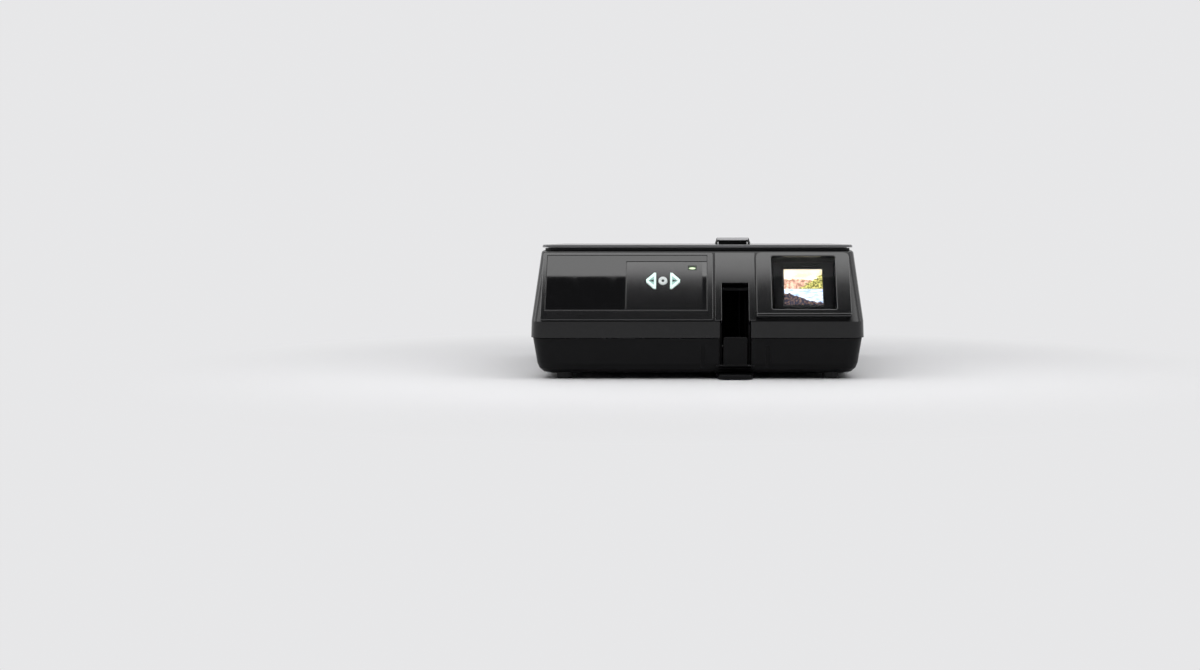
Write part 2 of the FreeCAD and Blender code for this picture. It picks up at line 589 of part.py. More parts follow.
def build_keys():
    switches = []
    cap = f"{KEY_FACE} + key_proud"
    for name, middle, turned in (("button_back", "back_x", -1), ("button_power", "power_x", 0),
                                 ("button_forward", "forward_x", 1)):
        body = new_body(name)
        lean(body)
        face = arrow(middle, turned, "0") if turned else (middle, "key_v", "ring_round")
        pad(body, "XZ", "0", cap, face)
        soften(body, "key_edge", lambda edge: faces_out(edge, cap))
        pad(body, "XZ", "-key_foot", "key_foot", (middle, "key_v", "stem_round"))
        pocket(body, "XZ", f"{cap} - keycap_dip", "overrun", (middle, "key_v", "ring_bore"))
        switches.append(rectangle(f"{middle} - switch_side / 2", f"{middle} + switch_side / 2",
                                  "key_v - switch_side / 2", "key_v + switch_side / 2"))
    board = new_body("control_board")
    lean(board)
    pad(board, "XZ", "-board_depth", "control_thick",
        rectangle("control_left", "control_right", "control_low", "control_high"))
    tact = new_body("button_switches")
    lean(tact)
    board_face = "-(board_depth - control_thick)"
    pad(tact, "XZ", board_face, "board_depth - control_thick - key_foot - key_travel - clearance",
        *switches)
    led = new_body("status_led")
    lean(led)
    pad(led, "XZ", board_face, f"board_depth - control_thick + {KEY_FACE} + led_proud",
        rectangle("led_x - led_wide / 2", "led_x + led_wide / 2",
                  "led_v - led_high / 2", "led_v + led_high / 2"))


# Right front: viewer bezel with its lip, the black well, the lit slide and what lights it

VIEWER_SIZES = {
    "lip_tall": 3, "lip_out": 1.6, "bezel_edge": 0.7, "window_thick": 1.2, "window_seat": 0.8,
    "well_round": 2, "mount_side_gap": 3, "mount_end_gap": 0.7, "mount_thick": 1.8, "mount_depth": 7,
    "mount_round": 2, "side_border": 7, "end_border": 6.5, "picture_round": 1.5, "film_margin": 2,
    "film_thick": 0.3, "film_sunk": 0.5, "ledge_wide": 4.6, "ledge_thick": 1.6, "diffuser_thick": 2,
    "diffuser_depth": 16, "lamp_thick": 1.6, "lamp_side": 3, "lamp_tall": 1.4, "lamp_pitch": 14,
}
sizes(VIEWER_SIZES)

VIEWER_V = "((viewer_low + viewer_high) / 2)"
VIEWER_HIGH = "(viewer_high - viewer_low)"


def around_viewer(half_wide, half_high, corner=None):
    """Give a rectangle centred on the viewer."""
    return rectangle(f"viewer_x - ({half_wide})", f"viewer_x + {half_wide}", f"{VIEWER_V} - ({half_high})",
                     f"{VIEWER_V} + {half_high}", corner)


def build_viewer():
    bezel = new_body("viewer_bezel")
    lean(bezel)
    pad(bezel, "XZ", "0", "bezel_thick",
        rectangle("bezel_left", "bezel_right", "bezel_low", "bezel_high", "bezel_round"))
    pocket(bezel, "XZ", "-overrun", "bezel_thick + 2 * overrun",
           around_viewer("viewer_wide / 2", f"{VIEWER_HIGH} / 2", "well_round"))
    soften(bezel, "bezel_edge", lambda edge: faces_out(edge, "bezel_thick"))
    foot_lip = [("bezel_left", "bezel_low"), ("bezel_right", "bezel_low", "lip_tall - clearance"),
                ("bezel_right", "bezel_low + lip_tall"), ("bezel_left", "bezel_low + lip_tall")]
    pad(bezel, "XZ", "bezel_thick - lip_out", "2 * lip_out", foot_lip)
    soften(bezel, "bezel_edge", lambda edge: faces_out(edge, "bezel_thick + lip_out"))
    well = new_body("viewer_well")
    lean(well)
    pad(well, "XZ", "-well_deep", "well_deep",
        around_viewer("viewer_wide / 2 + well_wall", f"{VIEWER_HIGH} / 2 + well_wall"),
        around_viewer("viewer_wide / 2", f"{VIEWER_HIGH} / 2"))
    ledge = "-(mount_depth + mount_thick + clearance + ledge_thick)"
    for side in ("-", "+"):
        wall_side = f"viewer_x {side} (viewer_wide / 2 + well_wall / 2)"
        tip = f"viewer_x {side} (viewer_wide / 2 - ledge_wide)"
        left, right = sorted((wall_side, tip), key=value)
        pad(well, "XZ", ledge, "ledge_thick", rectangle(left, right, "viewer_low", "viewer_high"))
    window = new_body("viewer_window")
    lean(window)
    pad(window, "XZ", "window_seat", "window_thick",
        around_viewer("viewer_wide / 2 - clearance", f"{VIEWER_HIGH} / 2 - clearance", "well_round"))
    mount_half = "viewer_wide / 2 - mount_side_gap", f"{VIEWER_HIGH} / 2 - mount_end_gap"
    mount = new_body("slide_mount")
    lean(mount)
    pad(mount, "XZ", "-(mount_depth + mount_thick)", "mount_thick",
        around_viewer(*mount_half, "mount_round"),
        around_viewer(f"{mount_half[0]} - side_border", f"{mount_half[1]} - end_border", "picture_round"))
    film_half = (f"{mount_half[0]} - side_border + film_margin",
                 f"{mount_half[1]} - end_border + film_margin")
    pocket(mount, "XZ", "-(mount_depth + mount_thick + overrun)", "overrun + film_sunk",
           around_viewer(f"{film_half[0]} + clearance", f"{film_half[1]} + clearance"))
    film = new_body("slide_film")
    lean(film)
    pad(film, "XZ", "-(mount_depth + mount_thick - film_sunk + film_thick)", "film_thick",
        around_viewer(*film_half))
    diffuser = new_body("viewer_diffuser")
    lean(diffuser)
    pad(diffuser, "XZ", "-(diffuser_depth + diffuser_thick)", "diffuser_thick",
        around_viewer("viewer_wide / 2 - clearance", f"{VIEWER_HIGH} / 2 - clearance"))
    lamp = new_body("viewer_lamp_board")
    lean(lamp)
    pad(lamp, "XZ", "-(well_deep + lamp_thick)", "lamp_thick",
        around_viewer("viewer_wide / 2 + well_wall", f"{VIEWER_HIGH} / 2 + well_wall"))
    lights = []
    for step_x in (-1, 0, 1):
        for step_v in (-1, 0, 1):
            x, v = f"viewer_x + {step_x} * lamp_pitch", f"{VIEWER_V} + {step_v} * lamp_pitch"
            lights.append(rectangle(f"{x} - lamp_side / 2", f"{x} + lamp_side / 2",
                                    f"{v} - lamp_side / 2", f"{v} + lamp_side / 2"))
    pad(lamp, "XZ", "-well_deep", "lamp_tall", *lights)


# Mouth frame beside and above the channel

MOUTH_FRAME_SIZES = {
    "mouth_edge": 0.5,
}
sizes(MOUTH_FRAME_SIZES)


def doorway(left, right, head):
    """Give the channel's opening, open below, with a border out to the given sides and head."""
    return [(left, "fascia_low"), (CHANNEL_LEFT, "fascia_low"), (CHANNEL_LEFT, MOUTH_V),
            (CHANNEL_RIGHT, MOUTH_V), (CHANNEL_RIGHT, "fascia_low"), (right, "fascia_low"),
            (right, head), (left, head)]


def build_mouth_frame():
    body = new_body("mouth_frame")
    lean(body)
    pad(body, "XZ", "0", "mouth_thick", doorway("mouth_left", "mouth_right", "mouth_high"))
    soften(body, "mouth_edge", lambda edge: faces_out(edge, "mouth_thick"))
    pad(body, "XZ", "-jamb_deep", "jamb_deep",
        doorway(f"{CHANNEL_LEFT} - jamb_thick", f"{CHANNEL_RIGHT} + jamb_thick", f"{MOUTH_V} + jamb_thick"))


# Holder channel from front to back, with windows for the light, the rollers and the lifter's hooks

GUIDE_SIZES = {
    "guide_front": 14.2, "guide_back": 9.4, "guide_head": 0.5, "gate_half": 17.5, "gate_low": 25,
    "gate_high": 65, "leg_inner": 19, "leg_outer": 24, "hook_high": 2.2, "hook_reach": 1.6,
    "lift_travel": 24, "yoke_low": 70, "yoke_high": 76, "feed_y": 60, "roller_low": 24, "roller_tall": 20,
    "roller_window": 11.6, "bridge_low": 76, "bridge_tall": 3, "bridge_deep": 4,
}
sizes(GUIDE_SIZES)

GUIDE_TOP = f"({DECK_TOP} - deck_thick - guide_head)"
GUIDE_OUT = "(channel_wide / 2 + guide_wall)"
LEGS = [(f"gate_y {side} {near}", f"gate_y {side} {far}")
        for side, near, far in (("-", "leg_outer", "leg_inner"), ("+", "leg_inner", "leg_outer"))]
SLANT = f"({FRONT} + (jamb_deep + guide_head) / cos(tilt))"


def build_guide():
    body = new_body("holder_channel")
    knee = f"{SLOPE_FOOT} + ({FRONT} + guide_front - {SLANT}) / tan(tilt)"
    pad(body, "YZ", f"channel_x - {GUIDE_OUT}", f"2 * {GUIDE_OUT}",
        [(f"{FRONT} + guide_front", INNER_FLOOR), (f"{REAR} - guide_back", INNER_FLOOR),
         (f"{REAR} - guide_back", GUIDE_TOP),
         (f"{SLANT} + ({GUIDE_TOP} - {SLOPE_FOOT}) * tan(tilt)", GUIDE_TOP),
         (f"{FRONT} + guide_front", knee)])
    pocket(body, "XZ", f"-({REAR} + overrun)", "case_deep + 2 * overrun",
           rectangle(CHANNEL_LEFT, CHANNEL_RIGHT, "channel_floor", f"{GUIDE_TOP} + overrun"))
    slot_top = "channel_floor + hook_high + lift_travel + 2 * overrun"
    hook_slots = [rectangle(f"{near} - clearance", f"{far} + clearance", "channel_floor", slot_top)
                  for near, far in LEGS]
    pocket(body, "YZ", "0", "case_wide / 2",
           rectangle("gate_y - gate_half", "gate_y + gate_half", "gate_low", "gate_high"),
           rectangle("feed_y - roller_window", "feed_y + roller_window",
                     "roller_low - overrun", "roller_low + roller_tall + overrun"), *hook_slots)
    bridge = f"{SLANT} + (bridge_low + bridge_tall - {SLOPE_FOOT}) * tan(tilt) + clearance"
    pad(body, "XZ", f"-({bridge} + bridge_deep)", "bridge_deep",
        rectangle(f"{CHANNEL_LEFT} - guide_wall / 2", f"{CHANNEL_RIGHT} + guide_wall / 2",
                  "bridge_low", "bridge_low + bridge_tall"))


# Slide lifter: a hoop above the lid, and the yoke that straddles the gate and hooks under the slide

LIFTER_SIZES = {
    "hoop_foot": 16.6, "hoop_head": 14.8, "hoop_thick": 2.2, "hoop_deep": 7, "hoop_rise": 5.6,
    "hoop_clear": 0.6, "hoop_edge": 0.5, "hook_gap": 0.4,
}
sizes(LIFTER_SIZES)

HOOP_FOOT = f"({LID_TOP} + hoop_clear)"


def build_lifter():
    hoop = new_body("slide_lifter")
    head = f"{HOOP_FOOT} + hoop_rise"
    pad(hoop, "XZ", "-(gate_y + hoop_deep / 2)", "hoop_deep",
        [("channel_x - hoop_foot", HOOP_FOOT), ("channel_x - hoop_foot + hoop_thick", HOOP_FOOT),
         ("channel_x - hoop_head + hoop_thick", f"{head} - hoop_thick"),
         ("channel_x + hoop_head - hoop_thick", f"{head} - hoop_thick"),
         ("channel_x + hoop_foot - hoop_thick", HOOP_FOOT), ("channel_x + hoop_foot", HOOP_FOOT),
         ("channel_x + hoop_head", head), ("channel_x - hoop_head", head)])
    waist = f"{head} - hoop_rise / 2"
    soften(hoop, "hoop_thick / 2",
           lambda edge: runs_along(edge, BACK) and edge.BoundBox.ZMin > value(waist))
    soften(hoop, "hoop_edge",
           lambda edge: not runs_along(edge, BACK) and edge.BoundBox.ZMax > value(waist))
    yoke = new_body("lifter_yoke")
    hook_low = "channel_floor + hook_gap"
    reach = "yoke_thick / 2 + clearance + guide_wall + hook_reach"
    left, right = f"channel_x - {YOKE_OUT}", f"channel_x + {YOKE_OUT} - yoke_thick"
    hooks = f"{left} + yoke_thick / 2", f"{right} + yoke_thick / 2 - ({reach})"
    (front, front_inner), (back_inner, back) = LEGS
    post = rectangle("gate_y - post_deep / 2", "gate_y + post_deep / 2",
                     "yoke_high", f"{HOOP_FOOT} + clearance")
    for start, hook in zip((left, right), hooks):
        pad(hoop, "YZ", start, "yoke_thick", post)
        pad(yoke, "YZ", start, "yoke_thick",
            [(front, hook_low), (front_inner, hook_low), (front_inner, "yoke_low"), (back_inner, "yoke_low"),
             (back_inner, hook_low), (back, hook_low), (back, "yoke_high"), (front, "yoke_high")])
        pad(yoke, "YZ", hook, reach,
            *[rectangle(near, far, hook_low, f"{hook_low} + hook_high") for near, far in LEGS])


# Mouth flap on its pin

FLAP_SIZES = {
    "flap_wide": 20.8, "flap_high": 25.2, "flap_thick": 2.2, "flap_barrel": 1.6, "flap_nub": 1,
    "flap_nub_inset": 2.4, "flap_round": 1.5, "flap_edge": 0.5,
}
sizes(FLAP_SIZES)


def build_flap():
    body = new_body("mouth_flap")
    body.Placement = Placement(Vector(), Rotation(ACROSS, value(FRONT_DRAFT)))
    body.setExpression("Placement.Rotation.Angle", cells(FRONT_DRAFT))
    place(body, "channel_x", f"{FRONT} + flap_pin_y", "flap_pin_z")
    half = "flap_wide / 2"
    pad(body, "XZ", "-flap_thick / 2", "flap_thick",
        [(f"-{half}", "0"), (half, "0"),
         (half, "flap_high", "flap_round"), (f"-{half}", "flap_high", "flap_round")])
    soften(body, "flap_edge",
           lambda edge: faces_out(edge, "flap_thick / 2") and edge.BoundBox.ZMax > value("flap_thick"))
    pad(body, "YZ", f"-{half}", "flap_wide", ("0", "0", "flap_barrel"))
    pocket(body, "YZ", "-flap_wide", "2 * flap_wide", ("0", "0", "flap_pin_round + running_fit"))
    pad(body, "XZ", "flap_thick / 2", "flap_nub / 2",
        (f"flap_nub_inset - {half}", "flap_high - flap_nub_inset", "flap_nub"))
    long = f"({MOUTH_RIGHT} - {MOUTH_LEFT} + 2 * flap_pin_seat - clearance)"
    rod("flap_pin", "flap_pin_round", long,
        f"channel_x - {long} / 2", f"{FRONT} + flap_pin_y", "flap_pin_z", ACROSS)


# Pull-out support tongue under the channel, between two rails

TONGUE_SIZES = {
    "tongue_wide": 29.5, "tongue_core": 22, "tongue_low": 0.5, "tongue_high": 4.2, "tongue_step": 2.1,
    "tongue_travel": 90, "tongue_stay": 40, "tongue_head": 9, "tongue_round": 6, "tongue_edge": 0.8,
    "rail_start": 20, "rail_long": 92, "rail_thick": 1.8, "rail_low": 0.8,
}
sizes(TONGUE_SIZES)


def build_tongue():
    body = new_body("support_tongue")
    half, core = "tongue_wide / 2", "tongue_core / 2"
    nose = f"{FRONT} - lip_reach"
    heel, tail = f"{nose} + tongue_head", f"{nose} + tongue_travel + tongue_stay"
    pad(body, "XY", "tongue_low", "tongue_high - tongue_low",
        [(f"channel_x - {half}", nose, "tongue_round"), (f"channel_x + {half}", nose, "tongue_round"),
         (f"channel_x + {half}", heel), (f"channel_x + {core}", heel),
         (f"channel_x + {core}", tail), (f"channel_x - {core}", tail),
         (f"channel_x - {core}", heel), (f"channel_x - {half}", heel)])
    pad(body, "XY", "tongue_step", "tongue_high - tongue_step",
        rectangle(f"channel_x - {half}", f"channel_x + {half}", heel, tail))
    soften(body, "tongue_edge", lambda edge: lies_at(edge.BoundBox.ZMin, "tongue_high"))
    rails = new_body("tongue_rails")
    for turned in (-1, 1):
        inside = f"channel_x + {turned} * ({half} + clearance)"
        outside = f"channel_x + {turned} * ({half} + clearance + rail_thick)"
        tip = f"channel_x + {turned} * ({core} + clearance)"
        points = [(outside, "rail_low"), (tip, "rail_low"), (tip, "tongue_step - clearance"),
                  (inside, "tongue_step - clearance"), (inside, "foot_high"), (outside, "foot_high")]
        pad(rails, "XZ", f"-({FRONT} + rail_start + rail_long)", "rail_long", points)


# Chassis, optics and sensor left of the gate

OPTICS_SIZES = {
    "lens_z": 45, "lens_round": 13, "lens_bore": 8.5, "lens_left": -58, "lens_long": 44, "lens_ring": 15,
    "lens_ring_long": 8, "lens_front_round": 11, "lens_front_long": 10, "block_left": -46,
    "block_long": 20, "block_half": 18, "block_head": 17, "glass_thick": 3, "glass_inset": 2,
    "sensor_x": -84, "sensor_side": 52, "sensor_thick": 1.6, "sensor_wide": 30, "sensor_high": 22,
    "sensor_deep": 1.6, "stand_thick": 2, "stand_foot": 14,
}
sizes(OPTICS_SIZES)


def build_optics():
    plate = new_body("chassis_plate")
    pad(plate, "XY", "chassis_z", "chassis_thick",
        rectangle("chassis_left", "chassis_right", "chassis_front", "chassis_back", "deck_round"))
    pocket(plate, "XY", "chassis_z - overrun", "chassis_thick + 2 * overrun",
           (FEED_X, "feed_y", "axle_round + running_fit"))
    deck = "chassis_z + chassis_thick"
    block_body = new_body("lens_block")
    pad(block_body, "YZ", "block_left", "block_long",
        [("gate_y - block_half", deck), ("gate_y + block_half", deck),
         ("gate_y + block_half", "lens_z + block_head", "deck_round"),
         ("gate_y - block_half", "lens_z + block_head", "deck_round")])
    pocket(block_body, "YZ", "block_left - overrun", "block_long + 2 * overrun",
           ("gate_y", "lens_z", "lens_round + running_fit"))
    barrel = new_body("lens_barrel")
    place(barrel, "lens_left", "gate_y", "lens_z")
    profile = drawn(barrel, "XZ", "0", [[
        ("0", "lens_bore"), ("lens_long", "lens_bore"), ("lens_long", "lens_front_round"),
        ("lens_long - lens_front_long", "lens_front_round"), ("lens_long - lens_front_long", "lens_round"),
        ("lens_ring_long", "lens_round"), ("lens_ring_long", "lens_ring"), ("0", "lens_ring")]])
    turned = barrel.newObject("PartDesign::Revolution", "lens_barrel_turned")
    turned.Profile = profile
    turned.ReferenceAxis = (profile, ["H_Axis"])
    turned.Angle = 360
    glasses = []
    for name, inset in (("rear_glass", "glass_inset"),
                        ("front_glass", "lens_long - glass_inset - glass_thick")):
        start = f"lens_left + {inset}"
        glasses.append(rod(name, "lens_bore", "glass_thick", start, "gate_y", "lens_z", ACROSS))
    joined("lens_glasses", "Compound", glasses)
    stand = new_body("sensor_stand")
    pad(stand, "XZ", "-(gate_y + sensor_side / 2)", "sensor_side",
        [("sensor_x - stand_thick", deck), ("sensor_x + stand_foot", deck),
         ("sensor_x + stand_foot", f"{deck} + stand_thick"), ("sensor_x", f"{deck} + stand_thick"),
         ("sensor_x", "lens_z + sensor_side / 2"),
         ("sensor_x - stand_thick", "lens_z + sensor_side / 2")])
    foot = f"{deck} + stand_thick"
    block("sensor_board", "sensor_thick", "sensor_side", f"lens_z + sensor_side / 2 - ({foot})",
          "sensor_x", "gate_y - sensor_side / 2", foot)
    block("image_sensor", "sensor_deep", "sensor_wide", "sensor_high", "sensor_x + sensor_thick",
          "gate_y - sensor_wide / 2", "lens_z - sensor_high / 2")


# Backlight right of the gate

LIGHT_SIZES = {
    "light_left": 50.2, "light_deep": 9, "light_half": 25, "light_low": 20, "light_high": 70,
    "light_wall": 2.4, "light_plate": 3, "light_board_thick": 1.6, "light_board_depth": 6, "leg_wide": 6,
}
sizes(LIGHT_SIZES)


def build_light():
    frame = new_body("light_frame")
    pad(frame, "YZ", "light_left", "light_deep",
        rectangle("gate_y - light_half", "gate_y + light_half", "light_low", "light_high"),
        rectangle("gate_y - light_half + light_wall", "gate_y + light_half - light_wall",
                  "light_low + light_wall", "light_high - light_wall"))
    legs = (("gate_y - light_half", "gate_y - light_half + leg_wide"),
            ("gate_y + light_half - leg_wide", "gate_y + light_half"))
    pad(frame, "YZ", "light_left", "light_deep",
        *[rectangle(near, far, INNER_FLOOR, "light_low + light_wall / 2") for near, far in legs])
    inside = "light_wall + clearance"
    wide = f"2 * (light_half - ({inside}))"
    tall = f"light_high - light_low - 2 * ({inside})"
    near, low = f"gate_y - light_half + {inside}", f"light_low + {inside}"
    block("light_plate", "light_plate", wide, tall, "light_left + clearance", near, low)
    block("light_board", "light_board_thick", wide, tall, "light_left + light_board_depth", near, low)


# Feed drive: motor, pinion and gear turn the rubber wheel that pushes the holder against the sprung roller

FEED_SIZES = {
    "wheel_round": 20, "tyre_thick": 3, "wheel_poke": 1, "axle_round": 2.5, "axle_low": 10.2, "module": 1,
    "gear_teeth": 28, "pressure_angle": 20, "pinion_teeth": 12, "gear_low": 48, "gear_tall": 6,
    "mesh_gap": 0.1, "backlash": 0.2, "root_gap": 0.25, "bracket_z": 59, "bracket_thick": 1.5,
    "bracket_left": -34, "bracket_right": 15.4, "bracket_half": 23, "motor_round": 13, "motor_tall": 30,
    "motor_shaft_round": 1.5, "motor_edge": 1.2, "motor_shaft_seat": 1.2, "shaft_low": 46.5,
    "idler_round": 8, "idler_axle": 2, "idler_plate": 2, "idler_left": 47.6, "idler_right": 62.4,
    "idler_half": 8, "idler_top": 48.4, "idler_axle_low": 7.3,
}
sizes(FEED_SIZES)

FEED_X = f"({CHANNEL_LEFT} + wheel_poke - wheel_round)"
IDLER_X = f"({CHANNEL_RIGHT} - wheel_poke + idler_round)"
MESH = "((gear_teeth + pinion_teeth) * module / 2 + mesh_gap)"


def gear(name, teeth_name, across, bore, turned):
    """Build a spur gear from involute flanks, with a tooth centred on +X when it is not turned."""
    teeth = int(value(teeth_name))
    unit = value("module")
    pitch = teeth * unit / 2
    pressure = math.radians(value("pressure_angle"))
    base = pitch * math.cos(pressure)
    tip, root = pitch + unit, pitch - unit - value("root_gap")
    half_pitch_angle = math.pi / (2 * teeth) - value("backlash") / (4 * pitch)
    flare = math.tan(pressure) - pressure

    def flank(radius):
        """Give the half angle of a tooth at a radius."""
        if radius < base:
            return half_pitch_angle + flare
        slope = math.acos(base / radius)
        return half_pitch_angle + flare - (math.tan(slope) - slope)

    def at(radius, angle):
        return Vector(radius * math.cos(angle), radius * math.sin(angle), 0)

    start = max(base, root)
    radii = (start, (start + tip) / 2, tip)
    edges = []
    for tooth in range(teeth):
        middle = 2 * math.pi * tooth / teeth + turned
        following = middle + 2 * math.pi / teeth
        rise = [at(radius, middle - flank(radius)) for radius in radii]
        fall = [at(radius, middle + flank(radius)) for radius in reversed(radii)]
        edges.append(Part.LineSegment(at(root, middle - flank(start)), rise[0]).toShape())
        edges.append(Part.Arc(*rise).toShape())
        edges.append(Part.Arc(rise[-1], at(tip, middle), fall[0]).toShape())
        edges.append(Part.Arc(*fall).toShape())
        edges.append(Part.LineSegment(fall[-1], at(root, middle + flank(start))).toShape())
        valley = (middle + flank(start) + following - flank(start)) / 2
        edges.append(Part.Arc(at(root, middle + flank(start)), at(root, valley),
                              at(root, following - flank(start))).toShape())
    wheel = Part.Face(Part.Wire(edges)).extrude(Vector(0, 0, value("gear_tall")))
    wheel = wheel.cut(Part.makeCylinder(value(bore), value("gear_tall")))
    item = doc.addObject("Part::Feature", name)
    item.Label = name
    item.Shape = wheel
    place(item, across, "feed_y", "gear_low")
    nodes[name] = item


def build_feed():
    low = "roller_low"
    hub = new_body("feed_hub")
    place(hub, FEED_X, "feed_y", low)
    pad(hub, "XY", "0", "roller_tall", ("0", "0", "wheel_round - tyre_thick"), ("0", "0", "axle_round"))
    tyre = new_body("feed_tyre")
    place(tyre, FEED_X, "feed_y", low)
    pad(tyre, "XY", "0", "roller_tall", ("0", "0", "wheel_round"), ("0", "0", "wheel_round - tyre_thick"))
    rod("feed_axle", "axle_round", "bracket_z + bracket_thick - axle_low", FEED_X, "feed_y", "axle_low")
    gear("drive_gear", "gear_teeth", FEED_X, "axle_round", math.pi / value("gear_teeth"))
    motor_x = f"{FEED_X} - {MESH}"
    gear("motor_pinion", "pinion_teeth", motor_x, "motor_shaft_round", 0)
    rod("motor_shaft", "motor_shaft_round", "bracket_z + bracket_thick + motor_shaft_seat - shaft_low",
        motor_x, "feed_y", "shaft_low")
    can = new_body("feed_motor")
    place(can, motor_x, "feed_y", "bracket_z + bracket_thick")
    pad(can, "XY", "0", "motor_tall", ("0", "0", "motor_round"))
    soften(can, "motor_edge", lambda edge: lies_at(edge.BoundBox.ZMin, "motor_tall"))
    pocket(can, "XY", "-overrun", "overrun + motor_shaft_seat + clearance",
           ("0", "0", "motor_shaft_round + running_fit"))
    bracket = new_body("drive_bracket")
    foot = "chassis_z + chassis_thick"
    near, far = "feed_y - bracket_half", "feed_y + bracket_half"
    pad(bracket, "YZ", "bracket_left", "bracket_right - bracket_left",
        [(near, foot), (f"{near} + bracket_thick", foot), (f"{near} + bracket_thick", "bracket_z"),
         (f"{far} - bracket_thick", "bracket_z"), (f"{far} - bracket_thick", foot), (far, foot),
         (far, "bracket_z + bracket_thick"), (near, "bracket_z + bracket_thick")])
    pocket(bracket, "XY", "bracket_z - overrun", "bracket_thick + 2 * overrun",
           (FEED_X, "feed_y", "axle_round + running_fit"),
           (motor_x, "feed_y", "motor_shaft_round + clearance"))
    idler = new_body("pressure_roller")
    place(idler, IDLER_X, "feed_y", low)
    pad(idler, "XY", "0", "roller_tall", ("0", "0", "idler_round"), ("0", "0", "idler_axle"))
    rod("pressure_axle", "idler_axle", "idler_top - idler_axle_low - clearance",
        IDLER_X, "feed_y", "idler_axle_low")
    holder = new_body("roller_bracket")
    top, floor = "idler_top", INNER_FLOOR
    pad(holder, "XZ", "-(feed_y + idler_half)", "2 * idler_half",
        [("idler_left", floor), ("idler_right", floor), ("idler_right", top), ("idler_left", top),
         ("idler_left", f"{top} - idler_plate"), ("idler_right - idler_plate", f"{top} - idler_plate"),
         ("idler_right - idler_plate", f"{floor} + idler_plate"), ("idler_left", f"{floor} + idler_plate")])
    pocket(holder, "XY", floor, f"{top} - {floor}", (IDLER_X, "feed_y", "idler_axle + running_fit"))


# Rear: main board with its sockets and the rocker switch

REAR_SIZES = {
    "usb_deep": 16, "usb_plug_wide": 8.6, "usb_plug_high": 7.8, "plug_deep": 9, "usb_key_wide": 5.6,
    "usb_key_high": 3.2, "jack_deep": 14, "jack_wide": 9.6, "jack_bore": 3.2, "jack_pin": 1,
    "socket_proud": 0.4, "flange_side": 1.6, "flange_thick": 1.3, "switch_deep": 14, "rocker_wide": 14.6,
    "rocker_high": 8.6, "rocker_gap": 0.7, "rocker_tilt": 9, "rocker_reach": 2.4, "rocker_hub": 2,
    "rocker_back": 3.6, "rocker_pin": 1, "rocker_pin_seat": 0.8, "can_round": 4, "can_tall": 12,
    "can_pitch": 11, "chip_side": 14, "chip_tall": 2, "chip_gap": 10,
}
sizes(REAR_SIZES)


